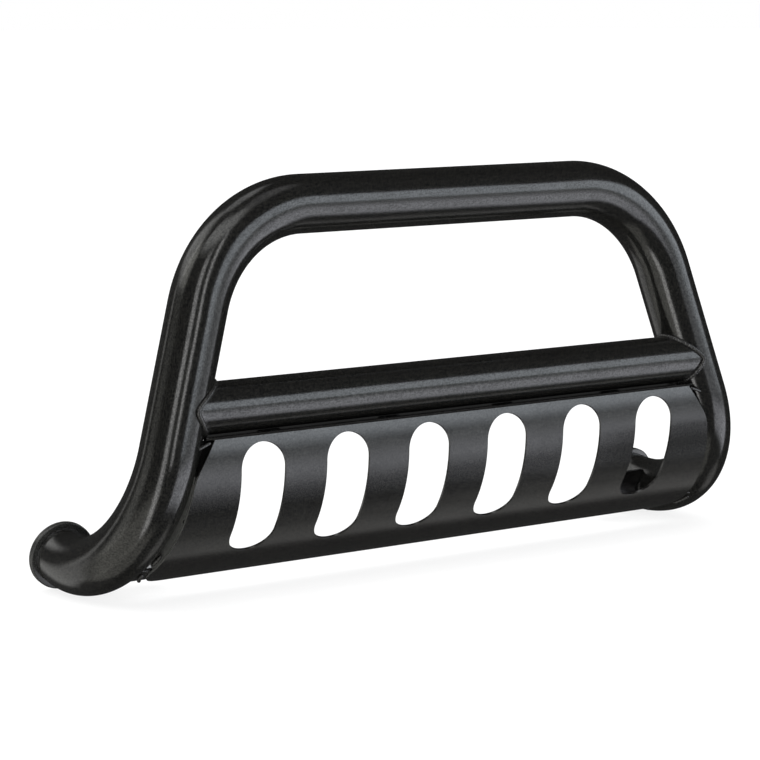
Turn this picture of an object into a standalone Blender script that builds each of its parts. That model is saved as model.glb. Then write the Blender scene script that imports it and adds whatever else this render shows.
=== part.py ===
"""Front grille guard for a pickup truck: a bent tube hoop, a coped cross tube and a rolled skid plate with six
slots, the tabs and welds that hold them together, and the brackets and bolts that hold the guard to the frame.

Units are metres. +X is the truck's right as seen from its front, +Y points back to the truck, +Z is up.
The welded bar leans back a little, so it is modelled in a bar frame of its own: its X and Z lie in the plane of
the hoop, its Y is square to that plane, and its origin is in that plane at the height of the cross tube.
"""

import math

import bmesh
import bpy
from mathutils import Matrix, Vector

NAME = "front_grille_guard"
GAP = 0.0003  # clearance between neighbouring solids

# Stance of the welded bar
LEAN = math.radians(5.7)  # the top of the hoop leans back by this much
BAR_HEIGHT = 0.2464  # height of the bar frame's origin over the lowest point of the tube
BAR_FORWARD = -0.0788  # its Y, which centres the whole guard on the origin

# Main hoop, one 3 inch tube
HOOP_RADIUS = 0.0381
HOOP_WALL = 0.002
TOP_HALF_LENGTH = 0.225  # half of the straight top run
TOP_HEIGHT = 0.2453  # top run's centreline over the cross tube's
UPPER_BEND_RADIUS = 0.1684
LEG_FLARE = math.radians(17.35)  # how far each leg leans outwards
LEG_LENGTH = 0.1852  # straight length of a leg, between its two bends
LOWER_BEND_RADIUS = 0.1496
LOWER_BEND_ANGLE = math.radians(106.2)
END_RUN = 0.0115  # straight stub after the lower bend
UPPER_BEND_STEPS = 10
LOWER_BEND_STEPS = 14
HOOP_SIDES = 20

# Cross tube
CROSS_RADIUS = 0.0328
CROSS_WALL = 0.002
CROSS_FORWARD = -0.0048  # its centreline in the bar frame's Y, so that its front is flush with the legs
CROSS_SIDES = 24

# Skid plate: a sheet with a flange along its top, rolled back under the bar. S runs down its front face from the
# corner where the front meets the flange.
SHEET = 0.003
SKID_TOP_Y = -0.0319
SKID_TOP_Z = -0.0344
SKID_TILT = math.radians(4.8)  # the top of the face leans forwards going down
SKID_STRAIGHT = 0.013
SKID_ROLL_RADIUS = 0.1597
SKID_LENGTH = 0.2434
SKID_ROLL_STEPS = 16
FLANGE_BEND_RADIUS = 0.004
FLANGE_BEND_STEPS = 4
FLANGE_LENGTH = 0.046
FLANGE_HALF_WIDTH = 0.404
SKID_TOP_HALF_WIDTH = 0.3945
SKID_KNEE = (0.4252, 0.050)  # half width and S where the side edge turns to follow the leg
SKID_KNEE_RADIUS = 0.06
SKID_LOW_HALF_WIDTH = 0.4560
SKID_CORNER_RADIUS = 0.045

# Slots of the skid plate
SLOT_COUNT = 6
SLOT_PITCH = 0.1299
SLOT_WIDTH = 0.0663
SLOT_TOP = 0.0113
SLOT_BOTTOM = 0.1676
SLOT_ARC_STEPS = 10

# Side returns, strips behind the plate's side edges, coped to the tube that they stand on
RETURN_TOP = 0.046
RETURN_BOTTOM = 0.186
RETURN_DEPTH = 0.024  # from the plate's front face, before it is coped
RETURN_STEPS = 12
NOTCH_S = 0.1055  # a relief notch in the front edge of each return
NOTCH_SIZE = (0.008, 0.006, 0.004)
RETURN_WELD_LENGTH = 0.022
RETURN_WELD_DEPTH = 0.0062

# Lower tabs, from behind the plate's lower corners to the tube
TAB_TOP = 0.195
TAB_BOTTOM = 0.238
TAB_INNER_X = 0.405
TAB_OUTER_X = 0.478
TAB_THICKNESS = 0.004
TAB_WELD_SWEEP = (math.radians(2), math.radians(34))  # round the plate's lower corner

# Upper brackets, folded angles between the legs and the plate's upper corners
ANGLE_INNER_X = 0.376
ANGLE_SHEET = 0.004
ANGLE_BACK_Y = -0.012
ANGLE_FRONT_Y = -0.0284
ANGLE_TOP_Z = -0.0378
ANGLE_BOTTOM_Z = -0.084

# Weld beads
SADDLE_BEAD_RADIUS = 0.0034
SADDLE_BEAD_PROUD = 0.0008  # how far the bead's centre stands off both tubes
SADDLE_BEAD_POINTS = 40
SMALL_BEAD_RADIUS = 0.0026
TACK_RADIUS = 0.0021
TACK_Y = -0.0300
TACK_ENDS = ((0.3990, -0.0404), (0.4180, -0.0474))  # (x, z) of its two ends
STITCH_X = (-0.285, -0.095, 0.095, 0.285)
STITCH_HALF_LENGTH = 0.018

# End caps
CAP_RADIUS = 0.0447
CAP_FLANGE = 0.010
CAP_CROWN = 0.003
CAP_PLUG_LENGTH = 0.018
CAP_PLUG_WALL = 0.0035
CAP_EDGE = 0.003
CAP_STEPS = 24

# Mounting plates and frame brackets, square to the truck
PLATE_Y = 0.1260  # front face of a mounting plate, back from the bar frame's origin
PLATE_THICKNESS = 0.008
PLATE_INNER_X = 0.372
PLATE_OUTER_X = 0.462
PLATE_TOP_Z = -0.180
PLATE_BOTTOM_Z = -0.230
PLATE_CORNER = 0.010
MOUNTING_BEAD_PROUD = 0.001
MOUNTING_BEAD_SWEEP = (math.radians(-60), math.radians(12))  # round the tube, from its inner side
MOUNTING_BEAD_STEPS = 8
BRACKET_SHEET = 0.006
BRACKET_OUTER_X = 0.432
BRACKET_DEPTH = 0.055
BRACKET_BEND = 0.010
SLOT_HOLE_WIDTH = 0.011
SLOT_HOLE_LENGTH = 0.026
SLOT_HOLE_BACK = 0.032  # the frame slots' centres behind the bracket's front
BOLT_X = 0.394
BOLT_Z = (-0.192, -0.218)

# M10 fasteners
BOLT_RADIUS = 0.005
HOLE_RADIUS = 0.0056
HEX_ACROSS_FLATS = 0.016
HEAD_HEIGHT = 0.0064
NUT_HEIGHT = 0.0084
WASHER_RADIUS = 0.010
WASHER_THICKNESS = 0.002
BOLT_LENGTH = 0.032
FASTENER_SIDES = 12

# Finishes: name, colour, roughness, metallic
GLOSS_BLACK = ("gloss_black_powder_coat", (0.014, 0.015, 0.017, 1.0), 0.30, 0.0)
BEAD_BLACK = ("coated_weld", (0.020, 0.021, 0.023, 1.0), 0.34, 0.0)
CAP_BLACK = ("black_cap_plastic", (0.030, 0.031, 0.033, 1.0), 0.42, 0.0)
ZINC = ("zinc_plated_steel", (0.56, 0.57, 0.58, 1.0), 0.36, 1.0)


# ---------------------------------------------------------------- scene and objects


def clear_scene():
    for obj in list(bpy.data.objects):
        bpy.data.objects.remove(obj, do_unlink=True)


def new_collection(name):
    collection = bpy.data.collections.new(name)
    bpy.context.scene.collection.children.link(collection)
    return collection


def finish(kind):
    """The Principled material of this finish, made once."""
    name, colour, roughness, metallic = kind
    made = bpy.data.materials.get(name)
    if made:
        return made
    made = bpy.data.materials.new(name)
    made.use_nodes = True
    made.diffuse_color = colour
    shader = made.node_tree.nodes["Principled BSDF"]
    shader.inputs["Base Color"].default_value = colour
    shader.inputs["Roughness"].default_value = roughness
    shader.inputs["Metallic"].default_value = metallic
    return made


def add_part(name, mesh, parent, kind):
    """A named piece of the guard, smooth shaded with sharp corners kept."""
    part = bpy.data.objects.new(name, mesh)
    PARTS.objects.link(part)
    part.parent = parent
    if not mesh.materials:
        mesh.materials.append(finish(kind))
    mesh.shade_smooth()
    mesh.set_sharp_from_angle(angle=math.radians(35))
    return part


def add_cutter(name, mesh, parent):
    cutter = bpy.data.objects.new(name, mesh)
    CUTTERS.objects.link(cutter)
    cutter.parent = parent
    cutter.display_type = "WIRE"
    cutter.hide_render = True
    return cutter


def cut(part, cutter):
    modifier = part.modifiers.new("cut_" + cutter.name, "BOOLEAN")
    modifier.operation = "DIFFERENCE"
    modifier.object = cutter


def thicken(part, thickness):
    """Walls grow inwards from the surface, opposite its normals."""
    modifier = part.modifiers.new("sheet", "SOLIDIFY")
    modifier.thickness = thickness
    modifier.offset = -1.0
    modifier.use_even_offset = True


def sides():
    return (("left", -1), ("right", 1))


def mirrored(points, side):
    return [Vector((side * p.x, p.y, p.z)) for p in points]


# ---------------------------------------------------------------- meshes


def mesh_of(bm, name):
    bmesh.ops.recalc_face_normals(bm, faces=bm.faces[:])
    mesh = bpy.data.meshes.new(name)
    bm.to_mesh(mesh)
    bm.free()
    return mesh


def tube_mesh(name, points, radius, side_count, cyclic=False, caps=False):
    """The skin of a round tube along these points, swept by a bevelled curve."""
    data = bpy.data.curves.new(name, "CURVE")
    data.dimensions = "3D"
    data.bevel_depth = radius
    data.bevel_resolution = (side_count - 4) // 2
    data.use_fill_caps = caps
    spline = data.splines.new("POLY")
    spline.points.add(len(points) - 1)
    for place, point in zip(spline.points, points):
        place.co = (*point, 1.0)
    spline.use_cyclic_u = cyclic
    curve = bpy.data.objects.new(name, data)
    bpy.context.scene.collection.objects.link(curve)
    graph = bpy.context.evaluated_depsgraph_get()
    mesh = bpy.data.meshes.new_from_object(curve.evaluated_get(graph))
    bpy.data.objects.remove(curve)
    bm = bmesh.new()
    bm.from_mesh(mesh)
    bmesh.ops.remove_doubles(bm, verts=bm.verts[:], dist=1e-6)
    bpy.data.meshes.remove(mesh)
    return mesh_of(bm, name)


def cylinder_mesh(name, radius, length, side_count):
    """A capped cylinder about Z, centred on the origin."""
    bm = bmesh.new()
    bmesh.ops.create_cone(
        bm, cap_ends=True, segments=side_count, radius1=radius, radius2=radius, depth=length
    )
    return mesh_of(bm, name)


def rounded_outline(corners, steps=4):
    """Points round a polygon whose corners are (x, y, radius), each rounded by an arc."""
    outline = []
    for index, (x, y, radius) in enumerate(corners):
        here = Vector((x, y))
        before = (Vector(corners[index - 1][:2]) - here).normalized()
        after = (Vector(corners[(index + 1) % len(corners)][:2]) - here).normalized()
        if not radius:
            outline.append(here)
            continue
        half = before.angle(after) / 2
        centre = here + (before + after).normalized() * radius / math.sin(half)
        start = here + before * radius / math.tan(half) - centre
        end = here + after * radius / math.tan(half) - centre
        turn = math.atan2(start.x * end.y - start.y * end.x, start.dot(end))
        for step in range(steps + 1):
            spin = Matrix.Rotation(turn * step / steps, 2)
            outline.append(centre + spin @ start)
    return outline


def slot_outline(x, y, width, length, along, steps):
    """A slot with round ends, centred on (x, y), its long side along X or Y."""
    radius = width / 2
    reach = length / 2 - radius
    outline = []
    for end in (1, -1):
        for step in range(steps + 1):
            angle = math.pi * step / steps + (0 if end > 0 else math.pi)
            across = radius * math.cos(angle)
            forth = end * reach + radius * math.sin(angle)
            outline.append(Vector((x + across, y + forth) if along == "y" else (x + forth, y - across)))
    return outline


def hole_outline(x, y, radius, steps=FASTENER_SIDES):
    turn = 2 * math.pi / steps
    return [Vector((x + radius * math.cos(turn * k), y + radius * math.sin(turn * k))) for k in range(steps)]


def flat_sheet(outlines):
    """A flat face in XY, filled inside the first outline and open inside the others."""
    bm = bmesh.new()
    for outline in outlines:
        verts = [bm.verts.new((p.x, p.y, 0)) for p in outline]
        for index, vert in enumerate(verts):
            bm.edges.new((vert, verts[index - 1]))
    bmesh.ops.triangle_fill(bm, use_beauty=True, use_dissolve=False, edges=bm.edges[:])
    return bm


def slab_mesh(name, outlines, thickness, place):
    """A flat plate of this outline, moved to its place by a function of (x, y, 0 or thickness)."""
    bm = flat_sheet(outlines)
    grown = bmesh.ops.extrude_face_region(bm, geom=bm.faces[:])
    for item in grown["geom"]:
        if isinstance(item, bmesh.types.BMVert):
            item.co.z = thickness
    for vert in bm.verts:
        vert.co = place(*vert.co)
    return mesh_of(bm, name)


def turned_mesh(name, profile, step_count):
    """A solid of revolution about Z. Its profile, (radius, z), runs down the outer side."""
    mesh = bpy.data.meshes.new(name)
    points = [(radius, 0, z) for radius, z in profile]
    edges = [(index, index + 1) for index in range(len(points) - 1)]
    mesh.from_pydata(points, edges, [])
    turned = bpy.data.objects.new(name, mesh)
    bpy.context.scene.collection.objects.link(turned)
    screw = turned.modifiers.new("turn", "SCREW")
    screw.steps = screw.render_steps = step_count
    screw.use_merge_vertices = True
    screw.merge_threshold = 1e-5
    graph = bpy.context.evaluated_depsgraph_get()
    solid = bpy.data.meshes.new_from_object(turned.evaluated_get(graph))
    bpy.data.objects.remove(turned)
    bm = bmesh.new()
    bm.from_mesh(solid)
    bmesh.ops.remove_doubles(bm, verts=bm.verts[:], dist=1e-6)
    return mesh_of(bm, name)


# ---------------------------------------------------------------- the hoop's geometry


def arc_points(start, along, towards, radius, angle, steps):
    """Points of an arc that leaves start in the direction along and bends towards another, start left out."""
    points = []
    for step in range(1, steps + 1):
        turned = angle * step / steps
        points.append(start + radius * (math.sin(turned) * along + (1 - math.cos(turned)) * towards))
    return points


LEG_DIRECTION = Vector((math.sin(LEG_FLARE), 0, -math.cos(LEG_FLARE)))
LEG_X = (
    TOP_HALF_LENGTH
    + UPPER_BEND_RADIUS * math.cos(LEG_FLARE)
    + (TOP_HEIGHT - UPPER_BEND_RADIUS * (1 - math.sin(LEG_FLARE))) * math.tan(LEG_FLARE)
)  # a leg's centreline at the cross tube's height
END_DIRECTION = (
    math.cos(LOWER_BEND_ANGLE) * LEG_DIRECTION + math.sin(LOWER_BEND_ANGLE) * Vector((0, 1, 0))
)


def hoop_half():
    """Centreline of the right half in the bar frame, from the end of the top run to the tube's end."""
    points = [Vector((TOP_HALF_LENGTH, 0, TOP_HEIGHT))]
    points += arc_points(
        points[-1],
        Vector((1, 0, 0)),
        Vector((0, 0, -1)),
        UPPER_BEND_RADIUS,
        math.pi / 2 - LEG_FLARE,
        UPPER_BEND_STEPS,
    )
    points.append(points[-1] + LEG_DIRECTION * LEG_LENGTH)
    points += arc_points(
        points[-1],
        LEG_DIRECTION,
        Vector((0, 1, 0)),
        LOWER_BEND_RADIUS,
        LOWER_BEND_ANGLE,
        LOWER_BEND_STEPS,
    )
    points.append(points[-1] + END_DIRECTION * END_RUN)
    return points


def hoop_path():
    right = hoop_half()
    return mirrored(right, -1)[::-1] + right


def leg_surface_x(y, z, radius):
    """X where a leg's surface of this radius, on its inner side, passes through (y, z)."""
    inwards = -math.sqrt(radius**2 - y**2)
    return LEG_X + (inwards - z * math.sin(LEG_FLARE)) / math.cos(LEG_FLARE)


# ---------------------------------------------------------------- the skid plate's geometry


def skid_stations():
    """(s, y, z, angle) down the sheet's front face, from the flange's back edge. The angle is the direction of
    the face, 0 straight down and positive towards the back."""
    bend_turn = math.pi / 2 - SKID_TILT
    drop = FLANGE_BEND_RADIUS * (1 - math.sin(SKID_TILT))  # of the bend's lower end below the flange
    bend_end = drop / math.cos(SKID_TILT)
    bend_y = SKID_TOP_Y - math.tan(SKID_TILT) * drop + FLANGE_BEND_RADIUS * math.cos(SKID_TILT)
    bend_start = bend_end - FLANGE_BEND_RADIUS * bend_turn
    stations = [(bend_start - FLANGE_LENGTH, bend_y + FLANGE_LENGTH, SKID_TOP_Z, -math.pi / 2)]
    for step in range(FLANGE_BEND_STEPS + 1):
        angle = -math.pi / 2 + bend_turn * step / FLANGE_BEND_STEPS
        stations.append(
            (
                bend_start + FLANGE_BEND_RADIUS * bend_turn * step / FLANGE_BEND_STEPS,
                bend_y - FLANGE_BEND_RADIUS * math.cos(angle),
                SKID_TOP_Z - FLANGE_BEND_RADIUS * (1 + math.sin(angle)),
                angle,
            )
        )
    _, last_y, last_z, _ = stations[-1]
    straight = SKID_STRAIGHT - bend_end
    roll_y = last_y - math.sin(SKID_TILT) * straight + SKID_ROLL_RADIUS * math.cos(SKID_TILT)
    roll_z = last_z - math.cos(SKID_TILT) * straight - SKID_ROLL_RADIUS * math.sin(SKID_TILT)
    roll_length = SKID_LENGTH - SKID_STRAIGHT
    for step in range(SKID_ROLL_STEPS + 1):
        length = roll_length * step / SKID_ROLL_STEPS
        angle = length / SKID_ROLL_RADIUS - SKID_TILT
        stations.append(
            (
                SKID_STRAIGHT + length,
                roll_y - SKID_ROLL_RADIUS * math.cos(angle),
                roll_z - SKID_ROLL_RADIUS * math.sin(angle),
                angle,
            )
        )
    return stations


def rolled(x, s, depth):
    """The point of the rolled sheet at (x, s), this far behind its front face."""
    stations = STATIONS
    index = 0
    while index < len(stations) - 2 and stations[index + 1][0] < s:
        index += 1
    ends = []
    for _, y, z, angle in stations[index : index + 2]:
        ends.append(Vector((x, y + depth * math.cos(angle), z + depth * math.sin(angle))))
    first, last = stations[index][0], stations[index + 1][0]
    return ends[0].lerp(ends[1], (s - first) / (last - first))


def skid_outline():
    """The sheet's flat outline, (x, s)."""
    back = STATIONS[0][0]
    corner = (SKID_LOW_HALF_WIDTH, SKID_LENGTH, SKID_CORNER_RADIUS)
    right = [
        (FLANGE_HALF_WIDTH, back, 0),
        (FLANGE_HALF_WIDTH, STATIONS[1][0], 0),
        (SKID_TOP_HALF_WIDTH, STATIONS[FLANGE_BEND_STEPS + 1][0], 0),
        (*SKID_KNEE, SKID_KNEE_RADIUS),
        corner,
    ]
    left = [(-x, s, radius) for x, s, radius in reversed(right)]
    return rounded_outline(right + left, steps=8)


def skid_edge_x(s):
    """Half width of the plate below its knee."""
    knee_x, knee_s = SKID_KNEE
    return knee_x + (SKID_LOW_HALF_WIDTH - knee_x) * (s - knee_s) / (SKID_LENGTH - knee_s)


STATIONS = skid_stations()


# ---------------------------------------------------------------- tubes


def make_hoop(bar):
    hoop = add_part(
        "hoop_tube", tube_mesh("hoop_tube", hoop_path(), HOOP_RADIUS, HOOP_SIDES), bar, GLOSS_BLACK
    )
    thicken(hoop, HOOP_WALL)
    solid = tube_mesh("hoop_solid", hoop_path(), HOOP_RADIUS + GAP, HOOP_SIDES, caps=True)
    return add_cutter("hoop_solid", solid, bar)


def make_leg_cutters(bar):
    """Straight solids of the legs, for the pieces that are coped to them."""
    cutters = {}
    for name, side in sides():
        mesh = cylinder_mesh(name + "_leg_solid", HOOP_RADIUS + GAP, 0.3, 2 * CROSS_SIDES)
        cutter = add_cutter(name + "_leg_solid", mesh, bar)
        cutter.location = (side * LEG_X, 0, 0)
        cutter.rotation_euler = (0, -side * LEG_FLARE, 0)
        cutters[name] = cutter
    return cutters


def make_cross_tube(bar, legs):
    ends = [Vector((side * LEG_X, CROSS_FORWARD, 0)) for side in (-1, 1)]
    tube = add_part(
        "cross_tube", tube_mesh("cross_tube", ends, CROSS_RADIUS, CROSS_SIDES), bar, GLOSS_BLACK
    )
    thicken(tube, CROSS_WALL)
    for leg in legs.values():
        cut(tube, leg)
    mesh = cylinder_mesh("cross_solid", CROSS_RADIUS + GAP, 2 * LEG_X, CROSS_SIDES)
    solid = add_cutter("cross_solid", mesh, bar)
    solid.location = (0, CROSS_FORWARD, 0)
    solid.rotation_euler = (0, math.pi / 2, 0)
    return solid


def saddle_path():
    """The closed line where the cross tube meets the right leg, standing off both by the bead's proudness."""
    points = []
    for index in range(SADDLE_BEAD_POINTS):
        angle = 2 * math.pi * index / SADDLE_BEAD_POINTS
        radius = CROSS_RADIUS + SADDLE_BEAD_PROUD
        y = CROSS_FORWARD + radius * math.cos(angle)
        z = radius * math.sin(angle)
        points.append(Vector((leg_surface_x(y, z, HOOP_RADIUS + SADDLE_BEAD_PROUD), y, z)))
    return points


def make_saddle_welds(bar, legs, cross_solid):
    """Beads round the cross tube's ends. The rings that it returns cut what comes close to them."""
    rings = {}
    for name, side in sides():
        path = mirrored(saddle_path(), side)
        mesh = tube_mesh("saddle_weld_" + name, path, SADDLE_BEAD_RADIUS, 8, cyclic=True)
        weld = add_part("saddle_weld_" + name, mesh, bar, BEAD_BLACK)
        cut(weld, legs[name])
        cut(weld, cross_solid)
        mesh = tube_mesh(name + "_saddle_ring", path, SADDLE_BEAD_RADIUS + GAP, 8, cyclic=True)
        rings[name] = add_cutter(name + "_saddle_ring", mesh, bar)
    return rings


# ---------------------------------------------------------------- skid plate and what holds it


def make_skid_plate(bar, hoop_solid, rings):
    """The flat blank with its slots is cut along the stations, so that it can be rolled to shape. Its flange is
    coped to the legs and to the saddle welds."""
    outlines = [skid_outline()]
    for index in range(SLOT_COUNT):
        x = (index - (SLOT_COUNT - 1) / 2) * SLOT_PITCH
        middle = (SLOT_TOP + SLOT_BOTTOM) / 2
        outlines.append(slot_outline(x, middle, SLOT_WIDTH, SLOT_BOTTOM - SLOT_TOP, "y", SLOT_ARC_STEPS))
    bm = flat_sheet(outlines)
    for s, _, _, _ in STATIONS[1:-1]:
        bmesh.ops.bisect_plane(
            bm,
            geom=bm.verts[:] + bm.edges[:] + bm.faces[:],
            dist=1e-6,
            plane_co=(0, s, 0),
            plane_no=(0, 1, 0),
        )
    crossing = [
        edge
        for edge in bm.edges
        if len(edge.link_faces) == 2 and abs(edge.verts[0].co.y - edge.verts[1].co.y) > 1e-6
    ]
    bmesh.ops.dissolve_edges(bm, edges=crossing, use_verts=False)
    for vert in bm.verts:
        vert.co = rolled(vert.co.x, vert.co.y, 0)
    mesh = mesh_of(bm, "skid_plate")
    front = max(mesh.polygons, key=lambda face: face.center.z)
    if front.normal.z < 0:
        mesh.flip_normals()
    plate = add_part("skid_plate", mesh, bar, GLOSS_BLACK)
    thicken(plate, SHEET)
    for cutter in (hoop_solid, *rings.values()):
        cut(plate, cutter)


def strip_grid(name, count, corner):
    """A long thin surface of count steps, each point from a function of (share along, share across)."""
    bm = bmesh.new()
    bmesh.ops.create_grid(bm, x_segments=count, y_segments=1, size=0.5)
    for vert in bm.verts:
        vert.co = corner(vert.co.x + 0.5, vert.co.y + 0.5)
    return mesh_of(bm, name)


def make_side_returns(bar, hoop_solid):
    """Strips on edge behind the plate's side edges, standing on the tube."""
    for name, side in sides():

        def corner(share, across, side=side):
            s = RETURN_TOP + (RETURN_BOTTOM - RETURN_TOP) * share
            depth = SHEET + GAP + (RETURN_DEPTH - SHEET) * across
            return rolled(side * (skid_edge_x(s) - SHEET / 2), s, depth)

        strip = add_part(
            "skid_side_return_" + name,
            strip_grid("skid_side_return_" + name, RETURN_STEPS, corner),
            bar,
            GLOSS_BLACK,
        )
        modifier = strip.modifiers.new("sheet", "SOLIDIFY")
        modifier.thickness = SHEET
        modifier.offset = 0.0
        cut(strip, hoop_solid)
        bm = bmesh.new()
        bmesh.ops.create_cube(bm, size=1, matrix=Matrix.Diagonal((*NOTCH_SIZE, 1)))
        notch = add_cutter("return_notch_" + name, mesh_of(bm, "return_notch"), bar)
        notch.location = rolled(side * skid_edge_x(NOTCH_S), NOTCH_S, SHEET + GAP)
        notch.rotation_euler = ((NOTCH_S - SKID_STRAIGHT) / SKID_ROLL_RADIUS - SKID_TILT, 0, 0)
        cut(strip, notch)


def make_lower_tabs(bar, hoop_solid):
    """Flat tabs behind the plate's lower corners that reach out to the tube."""
    for name, side in sides():

        def corner(share, across, side=side):
            s = TAB_TOP + (TAB_BOTTOM - TAB_TOP) * across
            x = TAB_INNER_X + (TAB_OUTER_X - TAB_INNER_X) * share
            return rolled(side * x, s, SHEET + GAP + TAB_THICKNESS / 2)

        tab = add_part(
            "skid_lower_tab_" + name, strip_grid("skid_lower_tab_" + name, 1, corner), bar, GLOSS_BLACK
        )
        modifier = tab.modifiers.new("sheet", "SOLIDIFY")
        modifier.thickness = TAB_THICKNESS
        modifier.offset = 0.0
        cut(tab, hoop_solid)


def make_upper_brackets(bar, hoop_solid):
    """Angles from the legs' inner sides to the back of the plate's upper corners."""
    height = ANGLE_TOP_Z - ANGLE_BOTTOM_Z
    for name, side in sides():
        outline = rounded_outline(
            [
                (side * ANGLE_INNER_X, ANGLE_BACK_Y, ANGLE_SHEET),
                (side * (LEG_X - 0.008), ANGLE_BACK_Y, 0),
                (side * (LEG_X - 0.008), ANGLE_BACK_Y - ANGLE_SHEET, 0),
                (side * (ANGLE_INNER_X + ANGLE_SHEET), ANGLE_BACK_Y - ANGLE_SHEET, 0),
                (side * (ANGLE_INNER_X + ANGLE_SHEET), ANGLE_FRONT_Y, 0),
                (side * ANGLE_INNER_X, ANGLE_FRONT_Y, 0),
            ]
        )
        mesh = slab_mesh(
            "skid_upper_bracket_" + name,
            [outline],
            height,
            lambda x, y, z: Vector((x, y, ANGLE_BOTTOM_Z + z)),
        )
        bracket = add_part("skid_upper_bracket_" + name, mesh, bar, GLOSS_BLACK)
        cut(bracket, hoop_solid)


def make_upper_bracket_welds(bar, hoop_solid):
    """Short beads up the legs, behind the upper brackets."""
    y = ANGLE_BACK_Y + GAP + SMALL_BEAD_RADIUS
    for name, side in sides():
        path = [
            Vector((side * leg_surface_x(y, z, HOOP_RADIUS + 0.001), y, z))
            for z in (ANGLE_TOP_Z - 0.006, ANGLE_BOTTOM_Z + 0.004)
        ]
        mesh = tube_mesh("upper_bracket_weld_" + name, path, SMALL_BEAD_RADIUS, 8, caps=True)
        weld = add_part("upper_bracket_weld_" + name, mesh, bar, BEAD_BLACK)
        cut(weld, hoop_solid)


def make_corner_tacks(bar, hoop_solid):
    """Tack welds that bridge from the plate's upper corners to the legs."""
    for name, side in sides():
        path = [Vector((side * x, TACK_Y, z)) for x, z in TACK_ENDS]
        mesh = tube_mesh("corner_tack_" + name, path, TACK_RADIUS, 8, caps=True)
        tack = add_part("corner_tack_" + name, mesh, bar, BEAD_BLACK)
        cut(tack, hoop_solid)


def make_return_welds(bar, hoop_solid):
    """Beads on the outer side of each side return's lower end, where it stands on the tube."""
    for name, side in sides():
        path = []
        for back in (RETURN_WELD_LENGTH, RETURN_WELD_LENGTH / 2, 0):
            s = RETURN_BOTTOM - back
            x = skid_edge_x(s) + GAP + SMALL_BEAD_RADIUS
            path.append(rolled(side * x, s, RETURN_WELD_DEPTH))
        mesh = tube_mesh("side_return_weld_" + name, path, SMALL_BEAD_RADIUS, 8, caps=True)
        weld = add_part("side_return_weld_" + name, mesh, bar, BEAD_BLACK)
        cut(weld, hoop_solid)


def make_tab_welds(bar, hoop_solid):
    """Beads on the lower tabs, round the plate's lower corners."""
    middle_x = SKID_LOW_HALF_WIDTH - SKID_CORNER_RADIUS
    middle_s = SKID_LENGTH - SKID_CORNER_RADIUS
    radius = SKID_CORNER_RADIUS + GAP + SMALL_BEAD_RADIUS
    first, last = TAB_WELD_SWEEP
    for name, side in sides():
        path = []
        for step in range(5):
            angle = first + (last - first) * step / 4
            x = middle_x + radius * math.cos(angle)
            path.append(rolled(side * x, middle_s + radius * math.sin(angle), SHEET - SMALL_BEAD_RADIUS))
        mesh = tube_mesh("lower_tab_weld_" + name, path, SMALL_BEAD_RADIUS, 8, caps=True)
        weld = add_part("lower_tab_weld_" + name, mesh, bar, BEAD_BLACK)
        cut(weld, hoop_solid)


def make_stitch_welds(bar):
    """Beads on top of the plate's flange, behind the lowest line of the cross tube."""
    z = SKID_TOP_Z + GAP + SMALL_BEAD_RADIUS
    y = CROSS_FORWARD + math.sqrt((CROSS_RADIUS + GAP + SMALL_BEAD_RADIUS) ** 2 - z**2)
    for number, x in enumerate(STITCH_X, start=1):
        path = [Vector((x + half, y, z)) for half in (-STITCH_HALF_LENGTH, STITCH_HALF_LENGTH)]
        mesh = tube_mesh(f"flange_stitch_weld_{number}", path, SMALL_BEAD_RADIUS, 8, caps=True)
        add_part(f"flange_stitch_weld_{number}", mesh, bar, BEAD_BLACK)


# ---------------------------------------------------------------- end caps


def cap_profile():
    """(radius, z) of a cap, z pointing out of the tube. Its flange lies on the tube's end at z = 0."""
    plug = HOOP_RADIUS - HOOP_WALL - GAP - 0.0006
    profile = [(0, CAP_FLANGE + CAP_CROWN), (CAP_RADIUS * 0.55, CAP_FLANGE + 0.7 * CAP_CROWN)]
    for edge_z, first in ((CAP_FLANGE, math.pi / 2), (0, 0)):
        centre_z = edge_z - CAP_EDGE if edge_z else CAP_EDGE
        for step in range(4):
            angle = first - math.pi / 2 * step / 3
            profile.append(
                (CAP_RADIUS - CAP_EDGE + CAP_EDGE * math.cos(angle), centre_z + CAP_EDGE * math.sin(angle))
            )
    return profile + [
        (plug, 0),
        (plug, -CAP_PLUG_LENGTH),
        (plug - CAP_PLUG_WALL, -CAP_PLUG_LENGTH),
        (plug - CAP_PLUG_WALL, 0),
        (0, 0),
    ]


def make_end_caps(bar):
    end = hoop_half()[-1]
    for name, side in sides():
        cap = add_part("end_cap_" + name, turned_mesh("end_cap_" + name, cap_profile(), CAP_STEPS), bar, CAP_BLACK)
        out = Vector((side * END_DIRECTION.x, END_DIRECTION.y, END_DIRECTION.z))
        cap.location = Vector((side * end.x, end.y, end.z)) + out * GAP
        cap.rotation_mode = "QUATERNION"
        cap.rotation_quaternion = out.to_track_quat("Z", "Y")


# ---------------------------------------------------------------- mounting plates, brackets and bolts


def truck_plate(name, outlines, y, thickness):
    """A plate across the truck whose front face is at y."""
    return slab_mesh(name, outlines, thickness, lambda x, z, depth: Vector((x, y + depth, z)))


def bolt_holes(side):
    return [hole_outline(side * BOLT_X, z, HOLE_RADIUS) for z in BOLT_Z]


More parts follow.
